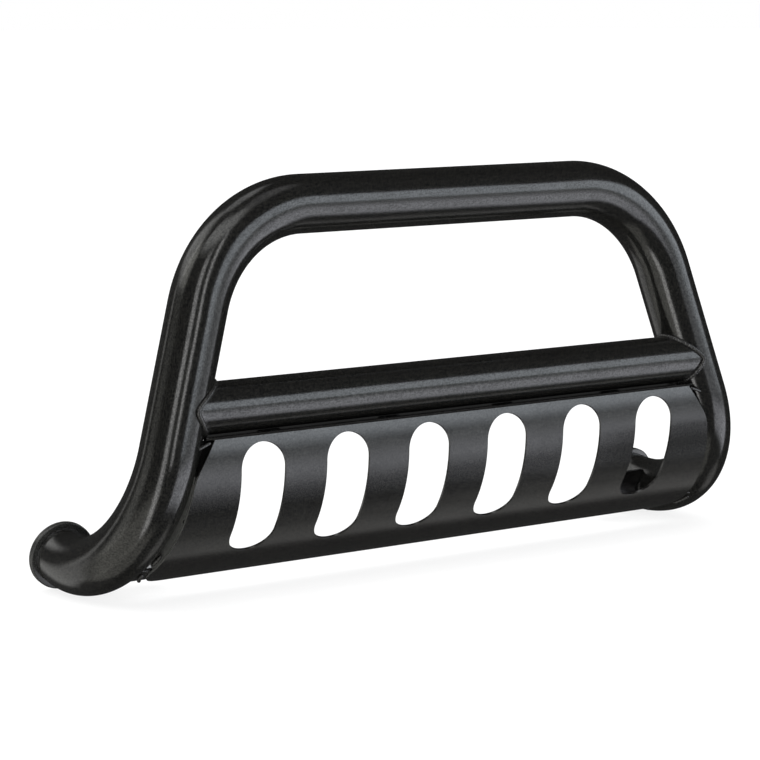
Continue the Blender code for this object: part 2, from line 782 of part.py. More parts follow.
def make_mounting_plates(truck, hoop_solid):
    """Plates welded to the inner sides of the tube's lower runs."""
    for name, side in sides():
        outline = rounded_outline(
            [
                (side * PLATE_INNER_X, PLATE_TOP_Z, PLATE_CORNER),
                (side * PLATE_OUTER_X, PLATE_TOP_Z, 0),
                (side * PLATE_OUTER_X, PLATE_BOTTOM_Z, 0),
                (side * PLATE_INNER_X, PLATE_BOTTOM_Z, PLATE_CORNER),
            ]
        )
        mesh = truck_plate(
            "mounting_plate_" + name, [outline] + bolt_holes(side), PLATE_Y, PLATE_THICKNESS
        )
        plate = add_part("mounting_plate_" + name, mesh, truck, GLOSS_BLACK)
        cut(plate, hoop_solid)


def make_mounting_welds(truck, hoop_solid):
    """Beads in front of the mounting plates, round the tube's inner side. The tube is level there, so the circle
    of its surface is slid along it until it lies in front of the plate."""
    to_truck = Matrix.Rotation(-LEAN, 3, "X")
    level = to_truck @ Vector((0, 1, 0))
    legs_end = hoop_half()[UPPER_BEND_STEPS + 1]
    centre = legs_end + LOWER_BEND_RADIUS * (LEG_DIRECTION + Vector((0, 1, 0)))
    radius = HOOP_RADIUS + MOUNTING_BEAD_PROUD
    target = PLATE_Y - GAP - SMALL_BEAD_RADIUS
    first, last = MOUNTING_BEAD_SWEEP
    for name, side in sides():
        path = []
        for step in range(MOUNTING_BEAD_STEPS + 1):
            angle = first + (last - first) * step / MOUNTING_BEAD_STEPS
            point = to_truck @ (centre + radius * Vector((-math.cos(angle), 0, math.sin(angle))))
            path.append(point + level * (target - point.y) / level.y)
        path = mirrored(path, side)
        mesh = tube_mesh("mounting_plate_weld_" + name, path, SMALL_BEAD_RADIUS, 8, caps=True)
        weld = add_part("mounting_plate_weld_" + name, mesh, truck, BEAD_BLACK)
        cut(weld, hoop_solid)


def make_frame_brackets(truck):
    """Angles bolted behind the mounting plates. Their rearward flanges hold the truck's frame."""
    front = PLATE_Y + PLATE_THICKNESS + GAP
    height = PLATE_TOP_Z - PLATE_BOTTOM_Z
    for name, side in sides():
        outline = rounded_outline(
            [
                (side * PLATE_INNER_X, front, 0),
                (side * BRACKET_OUTER_X, front, BRACKET_BEND),
                (side * BRACKET_OUTER_X, front + BRACKET_DEPTH, 0),
                (side * (BRACKET_OUTER_X - BRACKET_SHEET), front + BRACKET_DEPTH, 0),
                (side * (BRACKET_OUTER_X - BRACKET_SHEET), front + BRACKET_SHEET, BRACKET_BEND - BRACKET_SHEET),
                (side * PLATE_INNER_X, front + BRACKET_SHEET, 0),
            ]
        )
        mesh = slab_mesh(
            "frame_bracket_" + name,
            [outline],
            height,
            lambda x, y, z: Vector((x, y, PLATE_BOTTOM_Z + z)),
        )
        bracket = add_part("frame_bracket_" + name, mesh, truck, GLOSS_BLACK)
        for number, z in enumerate(BOLT_Z, start=1):
            drill = add_cutter(
                f"bolt_drill_{name}_{number}",
                cylinder_mesh("bolt_drill", HOLE_RADIUS, 0.03, FASTENER_SIDES),
                truck,
            )
            drill.location = (side * BOLT_X, front, z)
            drill.rotation_euler = (math.pi / 2, 0, 0)
            cut(bracket, drill)
            slot = slot_outline(
                front + SLOT_HOLE_BACK, z, SLOT_HOLE_WIDTH, SLOT_HOLE_LENGTH, "x", FASTENER_SIDES // 2
            )
            punch_mesh = slab_mesh(
                "frame_slot_punch",
                [slot],
                0.03,
                lambda y, z, depth, side=side: Vector((side * (BRACKET_OUTER_X - 0.018 + depth), y, z)),
            )
            punch = add_cutter(f"frame_slot_punch_{name}_{number}", punch_mesh, truck)
            cut(bracket, punch)


def hex_mesh(name, height):
    return cylinder_mesh(name, HEX_ACROSS_FLATS / 2 / math.cos(math.pi / 6), height, 6)


def bolt_mesh():
    """A hexagon bolt about Z. The head's underside is at z = 0 and the shank points down."""
    head = bpy.data.objects.new("bolt_head", hex_mesh("bolt_head", HEAD_HEIGHT))
    head.data.transform(Matrix.Translation((0, 0, HEAD_HEIGHT / 2)))
    overlap = HEAD_HEIGHT / 2
    shank_data = cylinder_mesh("bolt_shank", BOLT_RADIUS, BOLT_LENGTH + overlap, FASTENER_SIDES)
    shank_data.transform(Matrix.Translation((0, 0, (overlap - BOLT_LENGTH) / 2)))
    shank = bpy.data.objects.new("bolt_shank", shank_data)
    for piece in (head, shank):
        bpy.context.scene.collection.objects.link(piece)
    join = head.modifiers.new("join", "BOOLEAN")
    join.operation = "UNION"
    join.object = shank
    graph = bpy.context.evaluated_depsgraph_get()
    mesh = bpy.data.meshes.new_from_object(head.evaluated_get(graph))
    for piece in (head, shank):
        bpy.data.objects.remove(piece)
    return mesh


def nut_mesh():
    """A hexagon nut about Z, from z = 0 upwards."""
    bore = BOLT_RADIUS + GAP
    hexagon = [
        Vector((p.x, p.y)) for p in hole_outline(0, 0, HEX_ACROSS_FLATS / 2 / math.cos(math.pi / 6), 6)
    ]
    return slab_mesh(
        "nut", [hexagon, hole_outline(0, 0, bore)], NUT_HEIGHT, lambda x, y, z: Vector((x, y, z))
    )


def washer_mesh():
    outlines = [hole_outline(0, 0, WASHER_RADIUS), hole_outline(0, 0, BOLT_RADIUS + GAP)]
    return slab_mesh("washer", outlines, WASHER_THICKNESS, lambda x, y, z: Vector((x, y, z)))


def make_fasteners(truck):
    """A bolt from the front, a washer under its head, and a washer and a nut behind the bracket."""
    head_face = PLATE_Y - 2 * GAP - WASHER_THICKNESS
    back_face = PLATE_Y + PLATE_THICKNESS + BRACKET_SHEET + 2 * GAP
    towards_back = Matrix.Rotation(-math.pi / 2, 4, "X").to_quaternion()
    towards_front = Matrix.Rotation(math.pi / 2, 4, "X").to_quaternion()
    stack = (
        ("bolt", bolt_mesh(), head_face, towards_front),
        ("front_washer", washer_mesh(), PLATE_Y - GAP - WASHER_THICKNESS, towards_back),
        ("back_washer", washer_mesh(), back_face, towards_back),
        ("nut", nut_mesh(), back_face + WASHER_THICKNESS + GAP, towards_back),
    )
    for side_name, side in sides():
        for number, z in enumerate(BOLT_Z, start=1):
            for kind, mesh, y, turn in stack:
                piece = add_part(f"{kind}_{side_name}_{number}", mesh, truck, ZINC)
                piece.location = (side * BOLT_X, y, z)
                piece.rotation_mode = "QUATERNION"
                piece.rotation_quaternion = turn


# ---------------------------------------------------------------- assembly


def main():
    truck = bpy.data.objects.new("truck_axes", None)
    PARTS.objects.link(truck)
    truck.location = (0, BAR_FORWARD, BAR_HEIGHT)
    bar = bpy.data.objects.new("bar_frame", None)
    PARTS.objects.link(bar)
    bar.parent = truck
    bar.rotation_euler = (-LEAN, 0, 0)

    hoop_solid = make_hoop(bar)
    legs = make_leg_cutters(bar)
    cross_solid = make_cross_tube(bar, legs)
    rings = make_saddle_welds(bar, legs, cross_solid)
    make_end_caps(bar)

    make_skid_plate(bar, hoop_solid, rings)
    make_side_returns(bar, hoop_solid)
    make_return_welds(bar, hoop_solid)
    make_lower_tabs(bar, hoop_solid)
    make_tab_welds(bar, hoop_solid)
    make_upper_brackets(bar, hoop_solid)
    make_upper_bracket_welds(bar, hoop_solid)
    make_corner_tacks(bar, hoop_solid)
    make_stitch_welds(bar)

    make_mounting_plates(truck, hoop_solid)
    make_mounting_welds(truck, hoop_solid)
    make_frame_brackets(truck)
    make_fasteners(truck)


clear_scene()
PARTS = new_collection(NAME)
CUTTERS = new_collection("cutters")
main()
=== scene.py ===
"""Looks of the front grille guard: a smooth tube hoop, a coped cross tube, a rolled skid plate with rounded edges,
rippled weld beads, moulded end caps, softened brackets and threaded fasteners, all in black powder coat, black
plastic and zinc. Units are metres. +X points right as the truck is seen from its front, +Y back to the truck."""

import math

import bmesh
import bpy
import numpy as np
from mathutils import Matrix, Vector


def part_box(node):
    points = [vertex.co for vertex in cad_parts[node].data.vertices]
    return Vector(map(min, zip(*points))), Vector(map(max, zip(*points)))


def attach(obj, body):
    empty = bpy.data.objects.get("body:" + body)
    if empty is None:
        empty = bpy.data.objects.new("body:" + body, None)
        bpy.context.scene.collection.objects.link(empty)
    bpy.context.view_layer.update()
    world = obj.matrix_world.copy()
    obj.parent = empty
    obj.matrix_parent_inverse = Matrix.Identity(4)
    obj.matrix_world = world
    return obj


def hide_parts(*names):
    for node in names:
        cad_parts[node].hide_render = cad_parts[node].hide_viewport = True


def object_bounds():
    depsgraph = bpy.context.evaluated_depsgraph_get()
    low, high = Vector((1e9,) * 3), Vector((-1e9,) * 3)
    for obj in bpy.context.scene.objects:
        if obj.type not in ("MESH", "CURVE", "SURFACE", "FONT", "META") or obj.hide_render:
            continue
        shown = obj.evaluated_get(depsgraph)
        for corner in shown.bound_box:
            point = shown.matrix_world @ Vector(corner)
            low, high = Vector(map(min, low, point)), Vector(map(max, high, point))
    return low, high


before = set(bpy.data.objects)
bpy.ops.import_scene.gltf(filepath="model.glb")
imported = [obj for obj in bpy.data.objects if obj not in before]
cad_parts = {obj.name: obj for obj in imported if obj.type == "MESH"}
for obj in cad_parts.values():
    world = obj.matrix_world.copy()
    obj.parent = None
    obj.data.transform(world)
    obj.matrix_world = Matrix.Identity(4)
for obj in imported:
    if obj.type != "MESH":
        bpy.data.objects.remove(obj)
CAD_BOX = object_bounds()

GAP = 0.0003  # air between pieces that meet
SUNK = 0.001  # how far the plate's strips and tabs reach into the hoop's wall
SKIN = 0.00025  # round pieces lie this much inside the CAD's outline, within its facets

# Stance of the welded bar, and the sizes of its tubes, as in the CAD
LEAN = math.radians(5.7)
HOOP_RADIUS = 0.0381
HOOP_WALL = 0.002
TOP_HALF_LENGTH = 0.225
TOP_HEIGHT = 0.2453
UPPER_BEND_RADIUS = 0.1684
LEG_FLARE = math.radians(17.35)
LEG_LENGTH = 0.1852
LOWER_BEND_RADIUS = 0.1496
LOWER_BEND_ANGLE = math.radians(106.2)
END_RUN = 0.0115
CROSS_RADIUS = 0.0328
CROSS_WALL = 0.002
CROSS_FORWARD = -0.0048
HOOP_SIDES = 96
CROSS_SIDES = 128
CROSS_RINGS = (-1, -0.97, -0.5, 0, 0.5, 0.97, 1)  # shares of its half length
UPPER_BEND_STEPS = 48
LOWER_BEND_STEPS = 64
LEG_STEPS = 4
TOP_STEPS = 4

# Skid plate
SHEET = 0.003
SKID_TOP_Y = -0.0319
SKID_TOP_Z = -0.0344
SKID_TILT = math.radians(4.8)
SKID_STRAIGHT = 0.013
SKID_ROLL_RADIUS = 0.1597
SKID_LENGTH = 0.2434
FLANGE_BEND_RADIUS = 0.004
FLANGE_LENGTH = 0.046
FLANGE_HALF_WIDTH = 0.404
SKID_TOP_HALF_WIDTH = 0.3945
SKID_KNEE = (0.4252, 0.050)
SKID_KNEE_RADIUS = 0.06
SKID_LOW_HALF_WIDTH = 0.4560
SKID_CORNER_RADIUS = 0.045
SLOT_COUNT = 6
SLOT_PITCH = 0.1299
SLOT_WIDTH = 0.0663
SLOT_TOP = 0.0113
SLOT_BOTTOM = 0.1676
SHEET_ROWS = 0.003  # spacing of the rows that divide the sheet
FINE_ROWS = 0.00025  # least spacing round the slots' ends and the corners
COARSE_ROWS = 0.0013  # least spacing elsewhere
SHEET_EDGE = 0.0006  # rounding of its cut edges

# Strips and tabs that hold the plate
RETURN_TOP = 0.046
RETURN_BOTTOM = 0.186
RETURN_REACH = 0.0065  # how far each strip runs on below its CAD solid, to close the gap to the lower tab
RETURN_DEPTH = 0.024
NOTCH_S = 0.1055
NOTCH_LENGTH = 0.006
NOTCH_DEPTH = 0.002
RETURN_WELD_LENGTH = 0.022
RETURN_WELD_DEPTH = 0.0062
TAB_TOP = 0.195
TAB_BOTTOM = 0.238
TAB_INNER_X = 0.405
TAB_OUTER_X = 0.478
TAB_THICKNESS = 0.004
TAB_WELD_SWEEP = (math.radians(2), math.radians(34))

# Weld beads
SADDLE_BEAD_RADIUS = 0.0034
SADDLE_BEAD_PROUD = 0.0008
SMALL_BEAD_RADIUS = 0.0026
TACK_RADIUS = 0.0021
TACK_Y = -0.0300
TACK_ENDS = ((0.3990, -0.0404), (0.4180, -0.0474))
STITCH_X = (-0.285, -0.095, 0.095, 0.285)
STITCH_HALF_LENGTH = 0.018
ANGLE_BACK_Y = -0.012
ANGLE_WELD_Z = (-0.0438, -0.0800)
RIPPLE_PITCH = 0.0026
RIPPLE_LAG = 0.18  # of a pitch, between a crescent's crown and its foot
RIPPLE_SHARE = 0.075  # of the bead's radius
RIPPLE_MIDDLE = 0.4
RIPPLE_FULLNESS = 2.2
DRIFT_SHARE = 0.035  # of the bead's radius, from one crescent to the next
BEAD_BODY = 0.93
BEAD_SPACING = 0.0003
BEAD_TAPER = 1.5  # of the bead's radius, at its open ends
BEAD_STEPS = 8
BEAD_SIDES = 20
SADDLE_STEPS = 160
MOUNTING_BEAD_STEPS = 24

# End caps
CAP_RADIUS = 0.0447 - SKIN
CAP_FLANGE = 0.010
CAP_CROWN = 0.0024
CAP_PLUG_LENGTH = 0.018
CAP_PLUG_CLEARANCE = 0.0006
CAP_PLUG_WALL = 0.0035
CAP_EDGE = 0.003
CAP_BACK_EDGE = 0.0018
CAP_CROWN_POINTS = (0.25, 0.4, 0.52, 0.62, 0.70, 0.76)  # shares of its radius
CAP_GATE = ((0, 0.0004), (0.0016, 0.0004), (0.0020, 0.0001), (0.0060, 0.00005))  # radius, depth below the crown
PARTING_HALF_WIDTH = 0.0003
PARTING_DEPTH = 0.00018
RIB_FIRST = 0.004
RIB_PITCH = 0.0045
RIB_RISE = 0.0007
CAP_SIDES = 120

# Mounting plates and fasteners
PLATE_Y = 0.1260
PLATE_THICKNESS = 0.008
MOUNTING_BEAD_PROUD = 0.001
MOUNTING_BEAD_SWEEP = (math.radians(-60), math.radians(12))
BRACKET_SHEET = 0.006
BOLT_X = 0.394
BOLT_Z = (-0.192, -0.218)
BOLT_RADIUS = 0.005
THREAD_PITCH = 0.0015
THREAD_DEPTH = 0.00055
THREAD_ROWS = 8  # per pitch
PLAIN_SHANK = 0.012
POINT_CHAMFER = 0.0010
HEX_ACROSS_FLATS = 0.016
HEAD_HEIGHT = 0.0064
NUT_HEIGHT = 0.0084
HEX_CHAMFER_START = 0.93  # of the half flat, where its 30 degree cone starts
HEX_WASHER_FACE = 0.97
HEX_DISH = 0.0002
NUT_CHAMFER = 0.0008
WASHER_RADIUS = 0.010
WASHER_THICKNESS = 0.002
WASHER_RIM = 0.0003
BOLT_LENGTH = 0.032
BRACKET_EDGE = 0.0005
MOUNTING_EDGE = 0.0008

# Camera
CAMERA_PLACE = Vector((-2.2635, -2.9545, 0.7497))
CAMERA_AZIMUTH = math.radians(36.76)  # of its line of sight, from +Y towards +X
CAMERA_DROP = math.radians(7.78)
CAMERA_ROLL = math.radians(-0.13)
CAMERA_LENS = 132.99
CAMERA_SENSOR = 36.0
CAMERA_REACH = 200


def node_centre(node):
    low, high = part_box(node)
    return (Vector(low) + Vector(high)) / 2


# The bar frame's origin and axes, from the cross tube's box
TO_BAR = Matrix.Rotation(-LEAN, 4, "X")
BAR_ORIGIN = node_centre("cross_tube") - (TO_BAR @ Vector((0, CROSS_FORWARD, 0)))
BAR = Matrix.Translation(BAR_ORIGIN) @ TO_BAR
TRUCK = Matrix.Translation(BAR_ORIGIN)


def new_object(name, data):
    made = bpy.data.objects.new(name, data)
    bpy.context.scene.collection.objects.link(made)
    return made


# ---- camera


def make_camera():
    data = bpy.data.cameras.new("photo_camera")
    data.lens = CAMERA_LENS
    data.sensor_width = CAMERA_SENSOR
    data.dof.use_dof = False
    data.clip_end = CAMERA_REACH
    camera = new_object("photo_camera", data)
    level = Vector((math.sin(CAMERA_AZIMUTH), math.cos(CAMERA_AZIMUTH), 0))
    ahead = math.cos(CAMERA_DROP) * level - math.sin(CAMERA_DROP) * Vector((0, 0, 1))
    right = Vector((math.cos(CAMERA_AZIMUTH), -math.sin(CAMERA_AZIMUTH), 0))
    up = right.cross(ahead)
    rolled_right = math.cos(CAMERA_ROLL) * right + math.sin(CAMERA_ROLL) * up
    rolled_up = math.cos(CAMERA_ROLL) * up - math.sin(CAMERA_ROLL) * right
    turn = Matrix((rolled_right, rolled_up, -ahead)).transposed().to_4x4()
    camera.matrix_world = Matrix.Translation(CAMERA_PLACE) @ turn
    bpy.context.scene.camera = camera


make_camera()


# ---- material nodes


MIX_FACTOR, MIX_FIRST, MIX_SECOND, MIX_RESULT = 0, 6, 7, 2  # sockets of the Mix node for colours


class Nodes:
    """A node tree written as expressions."""

    def __init__(self, tree):
        self.tree = tree

    def new(self, kind, **values):
        node = self.tree.nodes.new(kind)
        for key, value in values.items():
            setattr(node, key, value)
        return node

    def feed(self, socket, value):
        if isinstance(value, bpy.types.NodeSocket):
            self.tree.links.new(value, socket)
        else:
            socket.default_value = value

    def math(self, operation, *values):
        node = self.new("ShaderNodeMath", operation=operation)
        for socket, value in zip(node.inputs, values):
            self.feed(socket, value)
        return node.outputs[0]

    def times(self, first, second):
        return self.math("MULTIPLY", first, second)

    def plus(self, value, factor, offset):
        """value * factor + offset"""
        return self.math("MULTIPLY_ADD", value, factor, offset)

    def span(self, value, low, high, to_low=0.0, to_high=1.0, kind="SMOOTHSTEP"):
        node = self.new("ShaderNodeMapRange", interpolation_type=kind)
        for socket, item in zip(node.inputs, (value, low, high, to_low, to_high)):
            self.feed(socket, item)
        return node.outputs["Result"]

    def mix(self, factor, first, second):
        node = self.new("ShaderNodeMix", data_type="RGBA")
        for socket, value in ((MIX_FACTOR, factor), (MIX_FIRST, first), (MIX_SECOND, second)):
            self.feed(node.inputs[socket], value)
        return node.outputs[MIX_RESULT]

    def noise(self, where, scale, detail=2.0, roughness=0.5, distortion=0.0):
        node = self.new("ShaderNodeTexNoise")
        names = ("Vector", "Scale", "Detail", "Roughness", "Distortion")
        for name, value in zip(names, (where, scale, detail, roughness, distortion)):
            self.feed(node.inputs[name], value)
        return node.outputs["Fac"]

    def cells(self, where, scale, output="Distance"):
        node = self.new("ShaderNodeTexVoronoi")
        self.feed(node.inputs["Vector"], where)
        self.feed(node.inputs["Scale"], scale)
        return node.outputs[output]

    def bump(self, height, distance, normal=None):
        node = self.new("ShaderNodeBump")
        self.feed(node.inputs["Height"], height)
        node.inputs["Distance"].default_value = distance
        node.inputs["Strength"].default_value = 1.0
        if normal is not None:
            self.feed(node.inputs["Normal"], normal)
        return node.outputs["Normal"]

    def place(self):
        return self.new("ShaderNodeTexCoord").outputs["Object"]

    def stretch(self, where, scale):
        node = self.new("ShaderNodeMapping")
        self.feed(node.inputs["Vector"], where)
        node.inputs["Scale"].default_value = scale
        return node.outputs["Vector"]

    def split(self, vector):
        node = self.new("ShaderNodeSeparateXYZ")
        self.feed(node.inputs[0], vector)
        return node.outputs

    def pointiness(self):
        return self.new("ShaderNodeNewGeometry").outputs["Pointiness"]


def new_material(name):
    material = bpy.data.materials.new(name)
    material.use_nodes = True
    nodes = Nodes(material.node_tree)
    shader = material.node_tree.nodes["Principled BSDF"]
    return material, nodes, shader


# Patterns in the finishes: cycles per metre, octaves, roughness, distortion
FINE_GRAIN = (900, 3, 0.6)
MOTTLE = (210, 4, 0.62)
CLOUD = (22, 3, 0.55)
SPECKS = (520, 2, 0.65)
RUB_BREAKS = (130, 4, 0.65)
SMEARS = (9, 4, 0.6, 0.6)
LONG_WAVES = (6.5, 1, 0.4)
ORANGE_PEEL = (75, 2, 0.5)
FINE_PEEL = (430, 3, 0.6)
SHEEN_WANDER = (14, 2, 0.5)
PLASTIC_GRAIN = (620, 3, 0.65)
PLASTIC_FLOW = (60, 4, 0.6, 0.8)
PLASTIC_SCUFFS = (160, 4, 0.7)
PLASTIC_WAVES = (90, 3, 0.5)
ZINC_TINT = (120, 3, 0.6)
ZINC_SCRATCHES = (900, 3, 0.7)
FLOOR_TONE = (3, 4, 0.6)
NIB_CELLS = 55
SPANGLE_CELLS = 700

# Depths of the relief in the finishes
WAVE_DEPTH = 0.0016
PEEL_DEPTH = 0.00006
FINE_PEEL_DEPTH = 0.000035
NIB_DEPTH = 0.00012
PLASTIC_WAVE_DEPTH = 0.00012
PLASTIC_GRAIN_DEPTH = 0.00003
SCRATCH_DEPTH = 0.00002
SPANGLE_DEPTH = 0.000008

RUBBED_COAT = (0.06, 0.06, 0.062, 1)
# lighter grey painted on the sheet's sideways faces, standing for the light they reflect
SIDE_PAINTED_LIGHT = (0.075, 0.075, 0.071, 1)
SPARKLE = {True: 0.14, False: 0.32}  # share of the specks in the gloss, less on the sheet


def powder_coat(name, dark, light, rough, peel, plate=False):
    """Black powder coat: orange peel, faint mottling, dust nibs, slight smears and rubbed edges; on the sheet also
    a painted sheen in bands and a painted lighter grey on its sideways faces.
    """
    material, n, shader = new_material(name)
    where = n.place()
    fine = n.noise(where, *FINE_GRAIN)
    mottle = n.noise(where, *MOTTLE)
    cloud = n.noise(where, *CLOUD)
    grain = n.span(fine, 0.35, 0.7)
    speck = n.span(n.noise(where, *SPECKS), 0.32, 0.68)
    tone = n.plus(speck, 0.6, n.plus(grain, 0.25, n.times(mottle, 0.3)))
    colour = n.mix(n.span(tone, 0.2, 1.0), dark, light)
    rubbed = n.span(n.pointiness(), 0.53, 0.62, 0.0, 0.6)
    wear = n.times(rubbed, n.span(n.noise(where, *RUB_BREAKS), 0.42, 0.62))
    if plate:  # painted reflection: where the plate's side edges and the side returns face sideways they get a lighter grey, in patches
        sideways = n.math("ABSOLUTE", n.split(n.new("ShaderNodeNewGeometry").outputs["Normal"])[0])
        outer = n.span(n.math("ABSOLUTE", n.split(where)[0]), 0.405, 0.415)
        painted_side_light = n.times(n.span(sideways, 0.85, 0.97), n.span(mottle, 0.25, 0.6, 0.7, 1.0))
        colour = n.mix(n.times(painted_side_light, outer), colour, SIDE_PAINTED_LIGHT)
    colour = n.mix(wear, colour, RUBBED_COAT)
    n.feed(shader.inputs["Base Color"], colour)

    smear = n.noise(n.stretch(where, (1, 1, 0.35)), *SMEARS)
    roughness = n.plus(smear, 0.07, rough - 0.035)
    roughness = n.plus(mottle, 0.10, n.math("SUBTRACT", roughness, 0.05))
    n.feed(shader.inputs["Roughness"], n.plus(wear, 0.18, roughness))

    level = n.plus(grain, 0.16, n.plus(speck, SPARKLE[plate], 0.42 - SPARKLE[plate] / 2))
    level = n.plus(n.math("SUBTRACT", cloud, 0.5), 0.16, level)
    # painted reflection: on the sheet the specular strength follows painted sheen bands by height
    if plate:
        level = n.times(level, painted_plate_sheen(n, where))
    n.feed(shader.inputs["Specular IOR Level"], level)

    normal = n.bump(n.noise(where, *LONG_WAVES), WAVE_DEPTH * peel)
    normal = n.bump(n.noise(where, *ORANGE_PEEL), PEEL_DEPTH * peel, normal)
    normal = n.bump(n.noise(where, *FINE_PEEL), FINE_PEEL_DEPTH * peel, normal)
    nib = n.span(n.cells(where, NIB_CELLS), 0.0, 0.045, 1.0, 0.0)
    n.feed(shader.inputs["Normal"], n.bump(nib, NIB_DEPTH * peel, normal))
    return material


# Painted reflection bands on the sheet, stops of (height, gloss): the coat's specular strength, fuller at the top
# and again a little below, dull across the middle, so light and dark bands show as a painted sheen
PLATE_PAINTED_SHEEN = (
    (0.021, 1.2), (0.034, 1.2), (0.044, 1.7), (0.056, 1.9), (0.062, 1.45), (0.070, 1.05),
    (0.080, 0.85), (0.091, 0.62), (0.098, 1.1), (0.103, 1.8), (0.110, 1.5), (0.117, 0.70),
    (0.124, 0.36), (0.130, 0.27), (0.136, 0.25), (0.142, 0.33), (0.149, 0.52), (0.157, 0.72),
    (0.168, 0.90), (0.177, 1.10), (0.184, 1.20), (0.190, 0.78), (0.196, 0.72), (0.206, 1.15),
)


def painted_plate_sheen(n, where):
    """Painted sheen over the sheet: the coat's specular strength from stops at a few heights, duller in the middle
    of its right part, which paints in bands of reflection.
    """
    low, high = PLATE_PAINTED_SHEEN[0][0], PLATE_PAINTED_SHEEN[-1][0]
    along, _, height = n.split(where)
    wander = n.plus(n.math("SUBTRACT", n.noise(where, *SHEEN_WANDER), 0.5), 0.004, height)
    ramp = n.new("ShaderNodeValToRGB")
    stops = ramp.color_ramp.elements
    while len(stops) < len(PLATE_PAINTED_SHEEN):
        stops.new(0.5)
    for stop, (level, sheen) in zip(stops, PLATE_PAINTED_SHEEN):
        stop.position = (level - low) / (high - low)
        stop.color = (sheen / 2, sheen / 2, sheen / 2, 1)
    n.feed(ramp.inputs[0], n.span(wander, low, high, kind="LINEAR"))
    # painted shade in the reflection: the sheen is dulled in the middle of the sheet's right part
    right = n.span(along, 0.12, 0.34, 0.0, 0.62)
    middle = n.times(n.span(height, 0.098, 0.114), n.span(height, 0.156, 0.172, 1.0, 0.0))
    painted_dulling = n.math("SUBTRACT", 1.0, n.times(right, middle))
    return n.times(n.times(ramp.outputs["Color"], 2.0), painted_dulling)


def cap_plastic():
    """Moulded black plastic with a fine spark-eroded grain, flow marks and scuffed edges."""
    material, n, shader = new_material("moulded_cap_plastic")
    where = n.place()
    grain = n.noise(where, *PLASTIC_GRAIN)
    flow = n.noise(n.stretch(where, (1, 0.4, 1)), *PLASTIC_FLOW)
    scuff = n.times(n.span(n.pointiness(), 0.52, 0.6), n.span(n.noise(where, *PLASTIC_SCUFFS), 0.42, 0.6))
    tone = n.plus(n.span(grain, 0.3, 0.7), 0.6, n.times(flow, 0.4))
    colour = n.mix(tone, (0.006, 0.0062, 0.0066, 1), (0.030, 0.030, 0.028, 1))
    colour = n.mix(n.times(scuff, 0.5), colour, (0.09, 0.09, 0.088, 1))
    n.feed(shader.inputs["Base Color"], colour)
    n.feed(shader.inputs["Roughness"], n.plus(grain, 0.14, n.plus(flow, 0.10, 0.14)))
    normal = n.bump(n.noise(where, *PLASTIC_WAVES), PLASTIC_WAVE_DEPTH)
    n.feed(shader.inputs["Normal"], n.bump(grain, PLASTIC_GRAIN_DEPTH, normal))
    return material


def zinc():
    """Dull zinc plate with a blue and straw passivate, spangle, scratches and lighter edges."""
    material, n, shader = new_material("passivated_zinc")
    where = n.place()
    tint = n.noise(where, *ZINC_TINT)
    spangle = n.cells(where, SPANGLE_CELLS, output="Color")
    scratch = n.noise(n.stretch(where, (1, 8, 1)), *ZINC_SCRATCHES)
    edge = n.span(n.pointiness(), 0.52, 0.62)
    colour = n.mix(tint, (0.22, 0.235, 0.26, 1), (0.29, 0.275, 0.235, 1))
    colour = n.mix(n.times(edge, 0.5), colour, (0.45, 0.45, 0.44, 1))
    n.feed(shader.inputs["Base Color"], colour)
    shader.inputs["Metallic"].default_value = 1.0
    n.feed(shader.inputs["Roughness"], n.plus(scratch, 0.2, n.plus(tint, 0.15, 0.22)))
    normal = n.bump(scratch, SCRATCH_DEPTH)
    n.feed(shader.inputs["Normal"], n.bump(spangle, SPANGLE_DEPTH, normal))
    return material


# Slot: name, darkest and lightest colour, roughness, depth of the orange peel, whether it is the sheet's
COATS = {
    "bar_coat": ("powder_coat_tube", (0.0012, 0.0013, 0.0015, 1), (0.0115, 0.0112, 0.0098, 1), 0.145, 1.0),
    "plate_coat": ("powder_coat_sheet", (0.002, 0.002, 0.0022, 1), (0.012, 0.0116, 0.0102, 1), 0.17, 0.8, True),
    "bracket_coat": ("powder_coat_bracket", (0.003, 0.003, 0.0033, 1), (0.0095, 0.0093, 0.009, 1), 0.20, 1.2),
    # the beads' coat is lighter than the tube's so that the beads read brighter: painted glints
    "weld_coat": ("powder_coat_weld", (0.004, 0.004, 0.0042, 1), (0.022, 0.0215, 0.020, 1), 0.20, 1.6),
}
FINISHES = {slot: powder_coat(*look) for slot, look in COATS.items()}
FINISHES["cap_plastic"] = cap_plastic()
FINISHES["fastener_zinc"] = zinc()


# ---- pieces


def add_piece(node, mesh, slot, place=None, smooth_angle=40):
    """A finished piece that stands for a CAD node."""
    if place is not None:
        mesh.transform(place)
    piece = new_object(node + "_finish", mesh)
    mesh.materials.clear()
    mesh.materials.append(FINISHES[slot])
    mesh.shade_smooth()
    mesh.set_sharp_from_angle(angle=math.radians(smooth_angle))
    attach(piece, "root")
    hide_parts(node)
    return piece


def bevel(piece, width, segments=3, angle=50):
    modifier = piece.modifiers.new("rounded_edges", "BEVEL")
    modifier.width = width
    modifier.segments = segments
    modifier.limit_method = "ANGLE"
    modifier.angle_limit = math.radians(angle)
    modifier.harden_normals = True


def add_shape(node, points, faces, slot, place, smooth_angle=40):
    """A finished piece made of these points and faces, all turned outwards."""
    mesh = bpy.data.meshes.new(node + "_finish")
    mesh.from_pydata([tuple(p) for p in points], [], faces)
    bm = bmesh.new()
    bm.from_mesh(mesh)
    bmesh.ops.recalc_face_normals(bm, faces=bm.faces[:])
    bm.to_mesh(mesh)
    bm.free()
    return add_piece(node, mesh, slot, place, smooth_angle)


def unit(v):
    return v / np.linalg.norm(v, axis=-1, keepdims=True)


